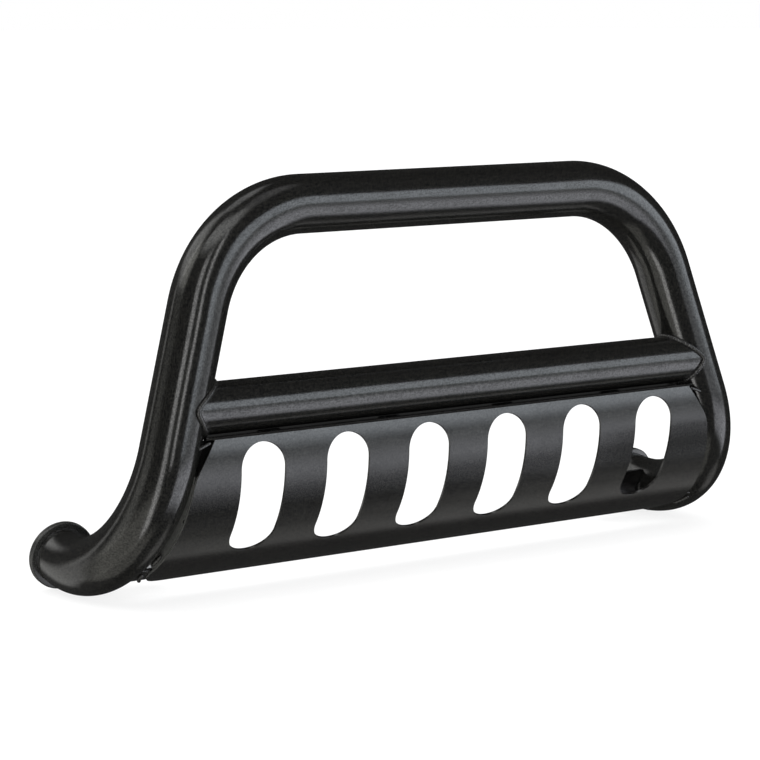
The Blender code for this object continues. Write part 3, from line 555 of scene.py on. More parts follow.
def frames_along(path, closed):
    """Two steady cross directions at each point of a path."""
    if closed:
        tangents = unit(np.roll(path, -1, 0) - np.roll(path, 1, 0))
    else:
        tangents = unit(np.gradient(path, axis=0))
    first = np.cross(tangents[0], (0.0, 0.0, 1.0))
    if np.linalg.norm(first) < 0.1:  # the path starts upright
        first = np.cross(tangents[0], (0.0, 1.0, 0.0))
    across = [unit(first)]
    for tangent in tangents[1:]:
        across.append(unit(across[-1] - tangent * (across[-1] @ tangent)))
    across = np.array(across)
    return across, np.cross(tangents, across)


def circle(steps):
    return np.linspace(0, 2 * math.pi, steps, endpoint=False)


def bridge(first, second, count):
    """Quads between two closed rings of points, given by their first points."""
    return [
        (first + j, first + (j + 1) % count, second + (j + 1) % count, second + j) for j in range(count)
    ]


def fan(ring, centre, count):
    """Triangles from a closed ring of points to a centre point."""
    return [(ring + j, ring + (j + 1) % count, centre) for j in range(count)]


def grid_faces(rows, columns, wrap_rows=False, start=0):
    """Quads over rows of points; each row is a closed ring."""
    faces = []
    for i in range(rows if wrap_rows else rows - 1):
        faces += bridge(start + i * columns, start + (i + 1) % rows * columns, columns)
    return faces


def tube(path, radii, sides, closed=False):
    """Points and faces of a solid round bar along a path, its radius given for each point or each (point, side)."""
    across, up = frames_along(path, closed)
    turn = circle(sides)
    radii = np.asarray(radii, float)
    if radii.ndim == 1:
        radii = radii[:, None] * np.ones(sides)
    outwards = np.cos(turn)[None, :, None] * across[:, None, :] + np.sin(turn)[None, :, None] * up[:, None, :]
    points = (path[:, None, :] + radii[..., None] * outwards).reshape(-1, 3)
    faces = grid_faces(len(path), sides, closed)
    if not closed:
        faces.append(tuple(range(sides - 1, -1, -1)))
        last = (len(path) - 1) * sides
        faces.append(tuple(range(last, last + sides)))
    return points, faces


# ---- the hoop and the cross tube

LEG_DIRECTION = Vector((math.sin(LEG_FLARE), 0, -math.cos(LEG_FLARE)))
LEG_X = (
    TOP_HALF_LENGTH
    + UPPER_BEND_RADIUS * math.cos(LEG_FLARE)
    + (TOP_HEIGHT - UPPER_BEND_RADIUS * (1 - math.sin(LEG_FLARE))) * math.tan(LEG_FLARE)
)
END_DIRECTION = math.cos(LOWER_BEND_ANGLE) * LEG_DIRECTION + math.sin(LOWER_BEND_ANGLE) * Vector((0, 1, 0))


def arc_points(start, along, towards, radius, angle, steps):
    points = []
    for step in range(1, steps + 1):
        turned = angle * step / steps
        points.append(start + radius * (math.sin(turned) * along + (1 - math.cos(turned)) * towards))
    return points


def hoop_half():
    """The right half of the hoop's centreline, from the end of the straight top run to the tube's open end."""
    points = [Vector((TOP_HALF_LENGTH, 0, TOP_HEIGHT))]
    sweep = math.pi / 2 - LEG_FLARE
    points += arc_points(
        points[-1], Vector((1, 0, 0)), Vector((0, 0, -1)), UPPER_BEND_RADIUS, sweep, UPPER_BEND_STEPS
    )
    for _ in range(LEG_STEPS):
        points.append(points[-1] + LEG_DIRECTION * LEG_LENGTH / LEG_STEPS)
    points += arc_points(
        points[-1], LEG_DIRECTION, Vector((0, 1, 0)), LOWER_BEND_RADIUS, LOWER_BEND_ANGLE, LOWER_BEND_STEPS
    )
    points.append(points[-1] + END_DIRECTION * END_RUN)
    return points


SIDES = (("left", -1), ("right", 1))


def mirrored(points, side):
    return [Vector((side * p.x, p.y, p.z)) for p in points]


RIGHT_HALF = hoop_half()
TOP_RUN = [Vector((TOP_HALF_LENGTH * k / TOP_STEPS, 0, TOP_HEIGHT)) for k in range(1 - TOP_STEPS, TOP_STEPS)]
HOOP_PATH = mirrored(RIGHT_HALF, -1)[::-1] + TOP_RUN + RIGHT_HALF
HOOP_POINTS = np.array([tuple(p) for p in HOOP_PATH])


def hoop_distance(point):
    """Distance from a point of the bar frame to the hoop's centreline."""
    starts, ends = HOOP_POINTS[:-1], HOOP_POINTS[1:]
    spans = ends - starts
    share = np.clip(((point - starts) * spans).sum(1) / (spans**2).sum(1), 0, 1)
    return np.linalg.norm(starts + share[:, None] * spans - point, axis=1).min()


def make_hoop():
    """The open-ended tube: its outer and inner skins joined by flat rims."""
    rows = len(HOOP_POINTS)
    outer, _ = tube(HOOP_POINTS, np.full(rows, HOOP_RADIUS - SKIN), HOOP_SIDES)
    inner, _ = tube(HOOP_POINTS, np.full(rows, HOOP_RADIUS - HOOP_WALL), HOOP_SIDES)
    count = len(outer)
    faces = grid_faces(rows, HOOP_SIDES)
    faces += [tuple(reversed(face)) for face in grid_faces(rows, HOOP_SIDES, start=count)]
    for rim in (0, (rows - 1) * HOOP_SIDES):
        faces += bridge(rim, count + rim, HOOP_SIDES)
    add_shape("hoop_tube", np.vstack([outer, inner]), faces, "bar_coat", BAR)


def leg_surface_x(y, z, radius):
    """Where a leg's surface faces the middle, at this height and depth and for this radius about its centreline."""
    inwards = -math.sqrt(max(radius**2 - y**2, 0))
    return LEG_X + (inwards - z * math.sin(LEG_FLARE)) / math.cos(LEG_FLARE)


def make_cross_tube():
    """The cross tube, coped to the legs at both ends."""
    turn = circle(CROSS_SIDES)
    rings = []
    for radius in (CROSS_RADIUS, CROSS_RADIUS - CROSS_WALL):
        y = CROSS_FORWARD + radius * np.cos(turn)
        z = radius * np.sin(turn)
        reach = np.array([leg_surface_x(a, b, HOOP_RADIUS + GAP) for a, b in zip(y, z)])
        rings += [np.stack([share * reach, y, z], 1) for share in CROSS_RINGS]
    rows = len(CROSS_RINGS)
    inner = rows * CROSS_SIDES
    faces = grid_faces(rows, CROSS_SIDES) + grid_faces(rows, CROSS_SIDES, start=inner)
    for rim in (0, (rows - 1) * CROSS_SIDES):
        faces += bridge(rim, inner + rim, CROSS_SIDES)
    add_shape("cross_tube", np.vstack(rings), faces, "bar_coat", BAR)


# ---- weld beads


def resampled(path, spacing, closed=False):
    """Evenly spaced points along a path of straight pieces."""
    path = np.array([tuple(p) for p in path], float)
    if closed:
        path = np.vstack([path, path[:1]])
    lengths = np.concatenate([[0], np.cumsum(np.linalg.norm(np.diff(path, axis=0), axis=1))])
    count = max(8, int(lengths[-1] / spacing))
    marks = np.linspace(0, lengths[-1], count, endpoint=not closed)
    return np.stack([np.interp(marks, lengths, path[:, k]) for k in range(3)], 1), marks, lengths[-1]


def bead(node, path, radius, seed, place, closed=False):
    """A weld bead laid as a row of overlapping crescents, tapering at its ends where it is open."""
    points, marks, length = resampled(path, BEAD_SPACING, closed)
    pitch = length / max(1, round(length / RIPPLE_PITCH))
    rng = np.random.default_rng(seed)
    phase = marks[:, None] / pitch + RIPPLE_LAG * np.cos(circle(BEAD_SIDES))[None, :]
    crest = 1.0 - (np.abs((phase % 1.0) - 0.5) * 2) ** RIPPLE_FULLNESS
    beats = rng.uniform(-1, 1, int(round(length / pitch)) + 2)
    drift = np.interp(marks, np.linspace(0, length, len(beats)), beats)
    if closed:
        drift *= np.sin(math.pi * marks / length) ** 0.5
    radii = radius * (BEAD_BODY + RIPPLE_SHARE * (crest - RIPPLE_MIDDLE) + DRIFT_SHARE * drift[:, None])
    if not closed:
        run = np.clip(np.minimum(marks, length - marks) / (radius * BEAD_TAPER), 0, 1)
        radii = radii * np.sqrt(np.clip(1 - (1 - run) ** 2, 0.02, 1))[:, None]
    mesh_points, faces = tube(points, radii, BEAD_SIDES, closed)
    add_shape(node, mesh_points, faces, "weld_coat", place, smooth_angle=80)


def saddle_path():
    """Round the joint of the cross tube and the right leg."""
    radius = CROSS_RADIUS + SADDLE_BEAD_PROUD
    points = []
    for angle in circle(SADDLE_STEPS):
        y = CROSS_FORWARD + radius * math.cos(angle)
        z = radius * math.sin(angle)
        points.append(Vector((leg_surface_x(y, z, HOOP_RADIUS + SADDLE_BEAD_PROUD), y, z)))
    return points


# ---- the skid plate


# The sheet's bend between flange and face: its turn, and where it starts and ends down the sheet
BEND_TURN = math.pi / 2 - SKID_TILT
BEND_DROP = FLANGE_BEND_RADIUS * (1 - math.sin(SKID_TILT))
BEND_END = BEND_DROP / math.cos(SKID_TILT)
BEND_START = BEND_END - FLANGE_BEND_RADIUS * BEND_TURN
FACE_Y = SKID_TOP_Y - math.tan(SKID_TILT) * BEND_DROP
BEND_Y = FACE_Y + FLANGE_BEND_RADIUS * math.cos(SKID_TILT)


def face_at(s):
    """(y, z, angle) of the sheet's front face at this distance down it; the flange lies before the bend."""
    if s <= BEND_START:
        return BEND_Y + (BEND_START - s), SKID_TOP_Z, -math.pi / 2
    if s <= BEND_END:
        angle = -math.pi / 2 + (s - BEND_START) / FLANGE_BEND_RADIUS
        y = BEND_Y - FLANGE_BEND_RADIUS * math.cos(angle)
        return y, SKID_TOP_Z - FLANGE_BEND_RADIUS * (1 + math.sin(angle)), angle
    run = min(s, SKID_STRAIGHT) - BEND_END
    y = FACE_Y - math.sin(SKID_TILT) * run
    z = SKID_TOP_Z - BEND_DROP - math.cos(SKID_TILT) * run
    if s <= SKID_STRAIGHT:
        return y, z, -SKID_TILT
    angle = (s - SKID_STRAIGHT) / SKID_ROLL_RADIUS - SKID_TILT
    y += SKID_ROLL_RADIUS * (math.cos(SKID_TILT) - math.cos(angle))
    return y, z - SKID_ROLL_RADIUS * (math.sin(SKID_TILT) + math.sin(angle)), angle


def rolled(x, s, depth):
    """The point this far down the sheet and this deep behind its face."""
    y, z, angle = face_at(s)
    return Vector((x, y + depth * math.cos(angle), z + depth * math.sin(angle)))


def skid_edge_x(s):
    knee_x, knee_s = SKID_KNEE
    return knee_x + (SKID_LOW_HALF_WIDTH - knee_x) * (s - knee_s) / (SKID_LENGTH - knee_s)


def rounded_corner(before, corner, after, radius, steps):
    here = Vector(corner)
    back = (Vector(before) - here).normalized()
    on = (Vector(after) - here).normalized()
    half = back.angle(on) / 2
    centre = here + (back + on).normalized() * radius / math.sin(half)
    start = here + back * radius / math.tan(half) - centre
    end = here + on * radius / math.tan(half) - centre
    turn = math.atan2(start.x * end.y - start.y * end.x, start.dot(end))
    return [centre + Matrix.Rotation(turn * k / steps, 2) @ start for k in range(steps + 1)]


def side_profile():
    """(half width, s) down the plate's right side, ending on its lower edge."""
    top = (SKID_TOP_HALF_WIDTH, BEND_END)
    low = (SKID_LOW_HALF_WIDTH, SKID_LENGTH)
    flange = [Vector((FLANGE_HALF_WIDTH, s)) for s in (BEND_START - FLANGE_LENGTH, BEND_START)]
    knee = rounded_corner(top, SKID_KNEE, low, SKID_KNEE_RADIUS, 16)
    corner = rounded_corner(SKID_KNEE, low, (0, SKID_LENGTH), SKID_CORNER_RADIUS, 32)
    return np.array([(p.x, p.y) for p in flange + [Vector(top)] + knee + corner])


def plate_half_width(profile, s):
    width = float(np.interp(s, profile[:, 1], profile[:, 0]))
    y, z, _ = face_at(s)
    if s < SKID_STRAIGHT and abs(y) < HOOP_RADIUS:
        width = min(width, leg_surface_x(y, z, HOOP_RADIUS) - GAP)
    return width


def slot_half_width(s):
    radius = SLOT_WIDTH / 2
    if s <= SLOT_TOP or s >= SLOT_BOTTOM:
        return 0.0
    over = max(SLOT_TOP + radius - s, s - (SLOT_BOTTOM - radius), 0.0)
    return math.sqrt(max(radius**2 - over**2, 0.0))


def plate_rows(profile):
    """The distances down the sheet where it is divided, close together only round the slots' ends and corners."""
    rounding = SLOT_WIDTH / 2 * (1 - np.cos(np.linspace(0, math.pi / 2, 26)))
    kept = [SLOT_TOP, SLOT_BOTTOM, SKID_LENGTH]

    def keep(rows, spacing):
        for s in rows:
            if min(abs(s - other) for other in kept) > spacing:
                kept.append(float(s))

    keep(np.linspace(BEND_START - FLANGE_LENGTH, BEND_START, 6), FINE_ROWS)
    keep(np.linspace(BEND_START, BEND_END, 8), FINE_ROWS)
    keep(SLOT_TOP + rounding, FINE_ROWS)
    keep(SLOT_BOTTOM - rounding, FINE_ROWS)
    keep([s for s in profile[:, 1] if s > SLOT_BOTTOM], FINE_ROWS)
    keep(np.arange(BEND_END + 0.001, SKID_LENGTH, SHEET_ROWS), COARSE_ROWS)
    return sorted(kept)


def make_skid_plate():
    """Faces between rows across the sheet, so that every point lies on a row and the roll shades smoothly."""
    profile = side_profile()
    rows = plate_rows(profile)
    bm = bmesh.new()
    centres = [(index - (SLOT_COUNT - 1) / 2) * SLOT_PITCH for index in range(SLOT_COUNT)]

    def slot_ends(s):
        half = slot_half_width(s)
        return [round(centre + side * half, 7) for centre in centres for side in (-1, 1)]

    across = []
    for s in rows:
        half = round(plate_half_width(profile, s), 7)
        marks = {-half, half}
        if SLOT_TOP <= s <= SLOT_BOTTOM:
            marks.update(slot_ends(s))
        across.append({x: bm.verts.new(rolled(x, s, 0)) for x in sorted(marks)})
    for pair in zip(zip(rows, across), zip(rows[1:], across[1:])):
        middle = (pair[0][0] + pair[1][0]) / 2
        spans = []
        for s, row in pair:
            ends = [min(row), max(row)]
            if SLOT_TOP < middle < SLOT_BOTTOM:
                ends += slot_ends(s)
            ends.sort()
            spans.append([[v for x, v in row.items() if a <= x <= b] for a, b in zip(ends[::2], ends[1::2])])
        for above, below in zip(*spans):
            corners = above[::-1] + below
            if len(corners) > 2:
                bm.faces.new(corners)
    mesh = bpy.data.meshes.new("skid_plate_finish")
    bm.to_mesh(mesh)
    bm.free()
    plate = add_piece("skid_plate", mesh, "plate_coat", BAR)
    sheet = plate.modifiers.new("sheet", "SOLIDIFY")
    sheet.thickness = SHEET
    sheet.offset = -1.0
    sheet.use_even_offset = True
    bevel(plate, SHEET_EDGE)


def reach_to_hoop(point_at, start, limit, step):
    """The least measure, in steps from start, at which a point is sunk into the hoop's wall, or the limit."""
    measure = start
    while measure < limit and hoop_distance(np.array(point_at(measure))) > HOOP_RADIUS - SUNK:
        measure += step
    return measure


def add_strip(node, sections, edge):
    """A closed bar through four-cornered sections, its edges rounded."""
    points = [corner for section in sections for corner in section]
    last = 4 * (len(sections) - 1)
    faces = grid_faces(len(sections), 4) + [(3, 2, 1, 0), tuple(last + k for k in range(4))]
    bevel(add_shape(node, points, faces, "plate_coat", BAR), edge, 2)


def make_side_returns():
    """Strips on edge behind the plate's side edges, with a relief notch, sunk a little into the tube's wall."""
    for name, side in SIDES:
        sections = []
        for s in np.linspace(RETURN_TOP, RETURN_BOTTOM + RETURN_REACH, 59):
            edge = skid_edge_x(s)
            near = SHEET + GAP
            if abs(s - NOTCH_S) < NOTCH_LENGTH / 2:
                near += NOTCH_DEPTH
            far = reach_to_hoop(lambda depth: rolled(edge, s, depth), near + 0.002, RETURN_DEPTH, 0.0004)
            corners = ((edge, near), (edge, far), (edge - SHEET, far), (edge - SHEET, near))
            sections.append([rolled(side * x, s, depth) for x, depth in corners])
        add_strip("skid_side_return_" + name, sections, 0.0004)


def make_lower_tabs():
    """Tabs behind the plate's lower corners, out to the tube."""
    near, far = SHEET + GAP, SHEET + GAP + TAB_THICKNESS
    for name, side in SIDES:
        sections = []
        for s in np.linspace(TAB_TOP, TAB_BOTTOM, 13):
            outer = reach_to_hoop(lambda x: rolled(x, s, near), TAB_INNER_X + 0.01, TAB_OUTER_X, 0.0005)
            corners = ((TAB_INNER_X, near), (outer, near), (outer, far), (TAB_INNER_X, far))
            sections.append([rolled(side * x, s, depth) for x, depth in corners])
        add_strip("skid_lower_tab_" + name, sections, 0.0005)


def make_bar_welds():
    """The beads in the bar's own frame; the numbers from 11 to 64 are their seeds."""
    corner_x = SKID_LOW_HALF_WIDTH - SKID_CORNER_RADIUS
    corner_s = SKID_LENGTH - SKID_CORNER_RADIUS
    clear = GAP + SMALL_BEAD_RADIUS
    radius = SKID_CORNER_RADIUS + clear
    first, last = TAB_WELD_SWEEP
    back = ANGLE_BACK_Y + clear
    shares = [step / BEAD_STEPS for step in range(BEAD_STEPS + 1)]
    for seed, (name, side) in enumerate(SIDES):
        bead("saddle_weld_" + name, mirrored(saddle_path(), side), SADDLE_BEAD_RADIUS, 11 + seed, BAR, closed=True)
        path = []
        for s in [RETURN_BOTTOM - RETURN_WELD_LENGTH * (1 - share) for share in shares]:
            path.append(rolled(side * (skid_edge_x(s) + clear), s, RETURN_WELD_DEPTH))
        bead("side_return_weld_" + name, path, SMALL_BEAD_RADIUS, 21 + seed, BAR)
        path = []
        for angle in [first + (last - first) * share for share in shares]:
            x = corner_x + radius * math.cos(angle)
            path.append(rolled(side * x, corner_s + radius * math.sin(angle), SHEET - SMALL_BEAD_RADIUS))
        bead("lower_tab_weld_" + name, path, SMALL_BEAD_RADIUS, 31 + seed, BAR)
        path = [Vector((side * leg_surface_x(back, z, HOOP_RADIUS + SUNK), back, z)) for z in ANGLE_WELD_Z]
        bead("upper_bracket_weld_" + name, path, SMALL_BEAD_RADIUS, 41 + seed, BAR)
        path = [Vector((side * x, TACK_Y, z)) for x, z in TACK_ENDS]
        bead("corner_tack_" + name, path, TACK_RADIUS, 51 + seed, BAR)
    z = SKID_TOP_Z + clear
    y = CROSS_FORWARD + math.sqrt((CROSS_RADIUS + clear) ** 2 - z**2)
    for number, x in enumerate(STITCH_X, start=1):
        path = [Vector((x + half, y, z)) for half in (-STITCH_HALF_LENGTH, STITCH_HALF_LENGTH)]
        bead(f"flange_stitch_weld_{number}", path, SMALL_BEAD_RADIUS, 60 + number, BAR)


def make_mounting_welds():
    """Beads where the lower runs meet the mounting plates, laid on the upright plane of the plates' front."""
    to_truck = Matrix.Rotation(-LEAN, 3, "X")
    level = to_truck @ Vector((0, 1, 0))
    leg_start = RIGHT_HALF[0] + UPPER_BEND_RADIUS * (
        math.cos(LEG_FLARE) * Vector((1, 0, 0)) - (1 - math.sin(LEG_FLARE)) * Vector((0, 0, 1))
    )
    leg_end = leg_start + LEG_DIRECTION * LEG_LENGTH
    centre = leg_end + LOWER_BEND_RADIUS * (LEG_DIRECTION + Vector((0, 1, 0)))
    radius = HOOP_RADIUS + MOUNTING_BEAD_PROUD
    target = PLATE_Y - GAP - SMALL_BEAD_RADIUS
    first, last = MOUNTING_BEAD_SWEEP
    path = []
    for step in range(MOUNTING_BEAD_STEPS + 1):
        angle = first + (last - first) * step / MOUNTING_BEAD_STEPS
        point = to_truck @ (centre + radius * Vector((-math.cos(angle), 0, math.sin(angle))))
        path.append(point + level * (target - point.y) / level.y)
    for seed, (name, side) in enumerate(SIDES):
        bead("mounting_plate_weld_" + name, mirrored(path, side), SMALL_BEAD_RADIUS, 71 + seed, TRUCK)


# ---- turned, hexagonal and folded pieces


def ring_points(radii, z, steps):
    """A closed ring about Z, of one radius or of one for each step."""
    radii = radii * np.ones(steps)
    return [(r * math.cos(a), r * math.sin(a), z) for r, a in zip(radii, circle(steps))]


def turned(profile, steps):
    """A solid of revolution about Z from (radius, z) points; points on the axis become poles."""
    points, rings = [], []
    for radius, z in profile:
        pole = radius < 1e-7
        rings.append((len(points), pole))
        points += [(0, 0, z)] if pole else ring_points(radius, z, steps)
    faces = []
    for (first, first_pole), (second, second_pole) in zip(rings, rings[1:] + rings[:1]):
        if first_pole and not second_pole:
            faces += [face[::-1] for face in fan(second, first, steps)]
        elif second_pole and not first_pole:
            faces += fan(first, second, steps)
        elif not first_pole:
            faces += bridge(first, second, steps)
    return points, faces


def rounding(radius, edge, z, first, last, steps):
    """(radius, z) points round an edge, between two angles up from level."""
    angles = [first + (last - first) * step / steps for step in range(steps + 1)]
    return [(radius - edge + edge * math.cos(a), z + edge * math.sin(a)) for a in angles]


def make_end_caps():
    """Moulded caps: a crowned face with a shallow dished centre and a gate mark, a rounded flange with a parting
    line round it, and a hollow plug with sealing ribs inside the tube."""
    plug = HOOP_RADIUS - HOOP_WALL - GAP - CAP_PLUG_CLEARANCE
    bore = plug - CAP_PLUG_WALL
    top = CAP_FLANGE + CAP_CROWN
    middle = CAP_FLANGE / 2
    profile = [(radius, top - below) for radius, below in CAP_GATE]
    profile += [(CAP_RADIUS * share, top - CAP_CROWN * share**4 * 1.1) for share in CAP_CROWN_POINTS]
    profile += rounding(CAP_RADIUS, CAP_EDGE, CAP_FLANGE - CAP_EDGE, math.pi / 2, 0, 8)
    profile += [
        (CAP_RADIUS, middle + PARTING_HALF_WIDTH),
        (CAP_RADIUS - PARTING_DEPTH, middle),
        (CAP_RADIUS, middle - PARTING_HALF_WIDTH),
    ]
    profile += rounding(CAP_RADIUS, CAP_BACK_EDGE, CAP_BACK_EDGE, 0, -math.pi / 2, 6)
    profile.append((plug, 0.0))
    for rib in range(3):
        z = -RIB_FIRST - rib * RIB_PITCH
        for sunk, along in ((RIB_RISE, 0.0012), (0, 0.0004), (0, -0.0004), (RIB_RISE, -0.0012)):
            profile.append((plug - sunk, z + along))
    profile += [(plug - 0.0012, -CAP_PLUG_LENGTH), (bore, -CAP_PLUG_LENGTH), (bore, 0), (0, 0)]
    for name, side in SIDES:
        end, out = mirrored((RIGHT_HALF[-1], END_DIRECTION), side)
        place = BAR @ Matrix.Translation(end + out * GAP) @ out.to_track_quat("Z", "Y").to_matrix().to_4x4()
        add_shape("end_cap_" + name, *turned(profile, CAP_SIDES), "cap_plastic", place, smooth_angle=50)


def softened(node, slot, width):
    """The CAD body itself with its flat faces made whole and its edges rounded."""
    source = bpy.data.objects[node]
    graph = bpy.context.evaluated_depsgraph_get()
    mesh = bpy.data.meshes.new_from_object(source.evaluated_get(graph))
    mesh.transform(source.matrix_world)
    bm = bmesh.new()
    bm.from_mesh(mesh)
    bmesh.ops.remove_doubles(bm, verts=bm.verts[:], dist=1e-6)
    bmesh.ops.dissolve_limit(bm, angle_limit=math.radians(0.6), verts=bm.verts[:], edges=bm.edges[:])
    bm.to_mesh(mesh)
    bm.free()
    bevel(add_piece(node, mesh, slot), width, angle=35)


def hexagon(height, bore=None):
    """A hexagon about Z from z = 0 to height: a nut chamfered at both ends, or without a bore a bolt's head with a
    washer face and a dished top."""
    flat = HEX_ACROSS_FLATS / 2
    steps = 96
    turn = circle(steps)
    sixth = math.pi / 3
    around = flat / np.cos((turn + sixth / 2) % sixth - sixth / 2)
    chamfer = math.tan(math.radians(30))
    levels = np.concatenate([[0.0, 0.0004], np.linspace(0.0008, height - 0.0001, 10), [height]])
    points = []
    for z in levels:
        limit = (height - z) / chamfer + flat * HEX_CHAMFER_START
        if bore:
            limit = min(limit, z / chamfer + flat * HEX_CHAMFER_START)
        elif z == 0:
            limit = flat * HEX_WASHER_FACE
        points += ring_points(np.minimum(around, limit), z, steps)
    faces = grid_faces(len(levels), steps)
    top = (len(levels) - 1) * steps
    if bore is None:
        dish = len(points)
        points += ring_points(HEX_CHAMFER_START * flat * 0.9, height, steps)
        points += [(0, 0, height - HEX_DISH), (0, 0, 0)]
        faces += bridge(top, dish, steps) + fan(dish, dish + steps, steps)
        faces += [face[::-1] for face in fan(0, dish + steps + 1, steps)]
        return points, faces
    wide = bore + NUT_CHAMFER
    chain = [top]
    for radius, z in ((wide, height), (bore, height - NUT_CHAMFER), (bore, NUT_CHAMFER), (wide, 0)):
        chain.append(len(points))
        points += ring_points(radius, z, steps)
    for first, second in zip(chain, chain[1:] + [0]):
        faces += bridge(first, second, steps)
    return points, faces


def threaded_shank(z_top, z_bottom, plain):
    """A bolt's shank about Z with a rolled thread below its plain part and a chamfered point."""
    steps = 36
    rows = int((z_top - z_bottom) / (THREAD_PITCH / THREAD_ROWS))
    turn = circle(steps)
    points = []
    for row in range(rows + 1):
        z = z_top + (z_bottom - z_top) * row / rows
        phase = (z / THREAD_PITCH + turn / (2 * math.pi)) % 1.0
        groove = THREAD_DEPTH * (1 - np.abs(phase - 0.5) * 2)
        fade = np.clip((z_top - plain - z) / THREAD_PITCH, 0, 1)
        point = max(0.0, POINT_CHAMFER - (z - z_bottom))
        points += ring_points(np.minimum(BOLT_RADIUS - groove * fade, BOLT_RADIUS - point), z, steps)
    count = len(points)
    points += [(0, 0, z_top), (0, 0, z_bottom)]
    faces = grid_faces(rows + 1, steps)
    faces += [face[::-1] for face in fan(0, count, steps)] + fan(rows * steps, count + 1, steps)
    return points, faces


def joined(*parts):
    points, faces = [], []
    for more_points, more_faces in parts:
        start = len(points)
        points += list(more_points)
        faces += [tuple(start + k for k in face) for face in more_faces]
    return points, faces


def washer():
    """A stamped washer about Z, its front edge rounder than its back."""
    inner = BOLT_RADIUS + GAP
    rim = WASHER_RIM
    top = WASHER_THICKNESS
    profile = [(inner, rim), (inner, top - rim), (inner + rim, top), (WASHER_RADIUS - rim, top)]
    profile += [(WASHER_RADIUS, top - rim * 1.6), (WASHER_RADIUS, rim), (WASHER_RADIUS - rim, 0), (inner + rim, 0)]
    return turned(profile, 72)


def make_fasteners():
    """Each bolt's stack through the mounting plate and the frame bracket; heads and nuts stand at odd angles."""
    head_face = PLATE_Y - 2 * GAP - WASHER_THICKNESS
    back_face = PLATE_Y + PLATE_THICKNESS + BRACKET_SHEET + 2 * GAP
    towards_back = Matrix.Rotation(-math.pi / 2, 4, "X")
    towards_front = Matrix.Rotation(math.pi / 2, 4, "X")
    bolt = joined(hexagon(HEAD_HEIGHT), threaded_shank(0.001, -BOLT_LENGTH, PLAIN_SHANK))
    nut = hexagon(NUT_HEIGHT, BOLT_RADIUS + 0.0001)
    stack = (
        ("bolt", bolt, head_face, towards_front),
        ("front_washer", washer(), PLATE_Y - GAP - WASHER_THICKNESS, towards_back),
        ("back_washer", washer(), back_face, towards_back),
        ("nut", nut, back_face + WASHER_THICKNESS + GAP, towards_back),
    )
    for side_name, side in SIDES:
        for number, z in enumerate(BOLT_Z, start=1):
            odd_angle = math.radians(37 * number + 71 * (side > 0))
            for kind, (points, faces), y, turn in stack:
                node = f"{kind}_{side_name}_{number}"
                spin = Matrix.Rotation(odd_angle if kind in ("bolt", "nut") else 0, 4, "Z")
                place = TRUCK @ Matrix.Translation((side * BOLT_X, y, z)) @ turn @ spin
                add_shape(node, points, faces, "fastener_zinc", place, smooth_angle=30)


make_hoop()
make_cross_tube()
make_skid_plate()
make_side_returns()
make_lower_tabs()
make_bar_welds()
make_mounting_welds()
make_end_caps()
for side_name, _ in SIDES:
    softened("skid_upper_bracket_" + side_name, "bracket_coat", BRACKET_EDGE)
    softened("mounting_plate_" + side_name, "bracket_coat", MOUNTING_EDGE)
    softened("frame_bracket_" + side_name, "bracket_coat", MOUNTING_EDGE)
make_fasteners()


# ---- floor and light


FLOOR_RADIUS = 60
FLOOR_GLOW = 0.85  # share of the floor's brightness that no shadow takes away


def make_floor():
    """A plain pale floor. Reflections in the gloss coat look past it to the dark studio below its edge."""
    bm = bmesh.new()
    bmesh.ops.create_circle(bm, cap_ends=True, segments=96, radius=FLOOR_RADIUS)
    mesh = bpy.data.meshes.new("floor")
    bm.to_mesh(mesh)
    bm.free()
    floor = new_object("floor", mesh)
    floor.location.z = CAD_BOX[0][2] - 0.0002  # just under the piece
    material, n, shader = new_material("pale_floor")
    tone = n.mix(n.noise(n.place(), *FLOOR_TONE), (0.17, 0.17, 0.172, 1), (0.19, 0.19, 0.19, 1))
    n.feed(shader.inputs["Base Color"], tone)
    shader.inputs["Roughness"].default_value = 0.9
    shader.inputs["Specular IOR Level"].default_value = 0.0
    shader.inputs["Emission Color"].default_value = (1, 1, 1, 1)
    shader.inputs["Emission Strength"].default_value = FLOOR_GLOW
    path = n.new("ShaderNodeLightPath")
    clear = n.new("ShaderNodeBsdfTransparent")
    mixed = n.new("ShaderNodeMixShader")
    passing = n.math("MAXIMUM", path.outputs["Is Glossy Ray"], path.outputs["Is Shadow Ray"])
    n.feed(mixed.inputs[0], passing)
    n.feed(mixed.inputs[1], shader.outputs[0])
    n.feed(mixed.inputs[2], clear.outputs[0])
    n.feed(n.tree.nodes["Material Output"].inputs["Surface"], mixed.outputs[0])
    mesh.materials.append(material)


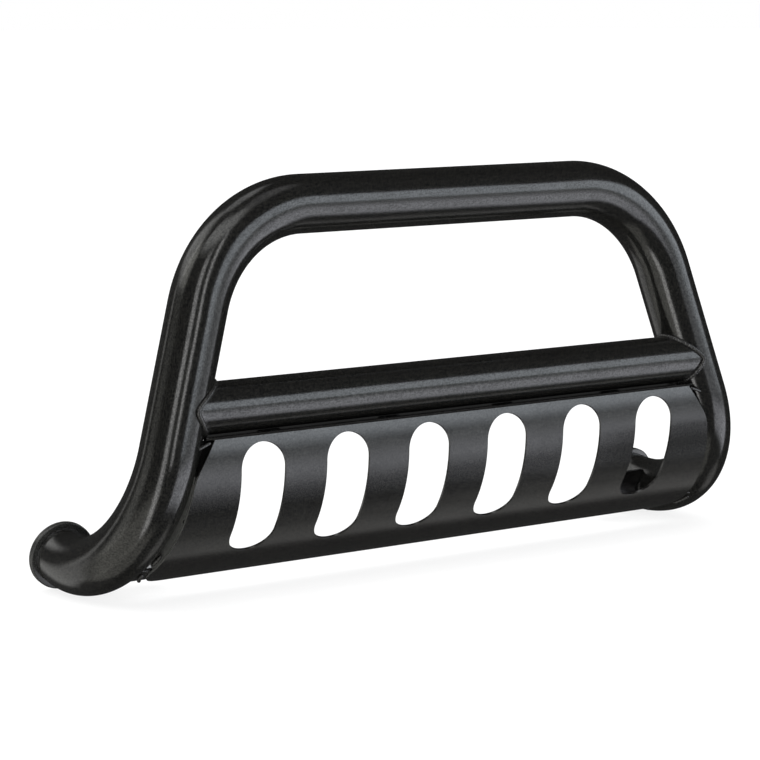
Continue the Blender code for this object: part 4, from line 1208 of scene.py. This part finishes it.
# Soft boxes round the studio: middle azimuth (0 behind, 90 right, 180 in front), half width, lowest and highest
# elevation, softness across and up, radiance, colour
SOFT_BOXES = (
    (138, 27, 3, 25, 6, 5, 3.0, (0.93, 1.0, 1.07)),
    (138, 27, -9, 3, 6, 5, 0.9, (0.96, 1.0, 1.04)),
    (138, 28, -35, -9, 6, 12, 2.6, (0.97, 0.99, 1.06)),
    (95, 20, -64, -44, 16, 10, 0.45, (1.0, 0.99, 0.96)),
    (-164, 4, 4, 52, 4, 10, 4.2, (1.0, 1.0, 0.99)),
    (-138, 7, -44, 48, 4, 12, 3.5, (1.0, 1.0, 0.99)),
    (-128, 52, 55, 77, 20, 10, 2.2, (0.99, 1.0, 0.98)),
    (-62, 16, 28, 52, 12, 12, 1.9, (1.0, 1.0, 0.94)),
    (-70, 14, -16, 20, 14, 14, 0.75, (1.0, 1.0, 0.94)),
    (-98, 44, -52, -8, 30, 24, 0.95, (1.0, 0.99, 0.90)),
    (-37, 4, -6, 20, 5, 8, 1.0, (1.0, 1.0, 0.97)),
    (-32, 22, 24, 58, 16, 14, 1.5, (1.0, 1.0, 0.98)),
    (-30, 18, -44, -6, 14, 14, 0.9, (1.0, 1.0, 0.97)),
    (-110, 70, -85, -48, 20, 10, 0.6, (1.0, 0.99, 0.90)),
    (5, 30, 58, 78, 16, 10, 1.2, (1.0, 1.0, 1.0)),
    (135, 42, 62, 82, 16, 10, 0.6, (1.0, 1.0, 1.0)),
)


DARK_WALL = 55.0  # azimuth of the middle of the studio's darkest part


def make_world():
    """White where the camera looks past the piece; in reflections the soft boxes and a dim room."""
    world = bpy.data.worlds.new("studio")
    bpy.context.scene.world = world
    world.use_nodes = True
    tree = world.node_tree
    n = Nodes(tree)
    background = tree.nodes["Background"]
    x, y, z = n.split(n.new("ShaderNodeTexCoord").outputs["Generated"])
    azimuth = n.times(n.math("ARCTAN2", x, y), 180 / math.pi)
    elevation = n.times(n.math("ARCSINE", z), 180 / math.pi)

    def window(value, low, high, soft):
        rise = n.span(value, low - soft / 2, low + soft / 2)
        fall = n.span(value, high - soft / 2, high + soft / 2, 1.0, 0.0)
        return n.times(rise, fall)

    def added(first, second):
        node = n.new("ShaderNodeVectorMath", operation="ADD")
        n.feed(node.inputs[0], first)
        n.feed(node.inputs[1], second)
        return node.outputs[0]

    def round_from(middle):
        return n.math("WRAP", n.math("SUBTRACT", azimuth, float(middle)), 180.0, -180.0)

    total = None
    for middle, half, low, high, soft_across, soft_up, radiance, tint in SOFT_BOXES:
        lit = n.times(window(round_from(middle), -half, half, soft_across), window(elevation, low, high, soft_up))
        colour = n.new("ShaderNodeVectorMath", operation="SCALE")
        colour.inputs[0].default_value = tuple(channel * radiance for channel in tint)
        n.feed(colour.inputs["Scale"], lit)
        total = added(total, colour.outputs[0]) if total else colour.outputs[0]
    room = n.span(n.math("ABSOLUTE", round_from(DARK_WALL)), 25.0, 75.0, 0.03, 0.09)
    spread = n.new("ShaderNodeCombineXYZ")
    for socket in spread.inputs:
        n.feed(socket, room)
    total = added(total, spread.outputs[0])
    path = n.new("ShaderNodeLightPath")
    seen = n.mix(path.outputs["Is Camera Ray"], total, (1.0, 1.0, 1.0, 1))
    n.feed(background.inputs["Color"], seen)


SUN_ENERGY = 3.1
SUN_ANGLE = math.radians(110)
SUN_TURN = (math.radians(-12), math.radians(6), 0)


def make_overhead():
    """A wide diffuser overhead that lights the floor and lays a soft shadow, out of the coat's reflections."""
    data = bpy.data.lights.new("overhead_diffuser", "SUN")
    data.energy = SUN_ENERGY
    data.angle = SUN_ANGLE
    light = new_object("overhead_diffuser", data)
    light.rotation_euler = SUN_TURN
    light.visible_glossy = False


make_floor()
make_world()
make_overhead()
bpy.context.scene.view_settings.view_transform = "Standard"
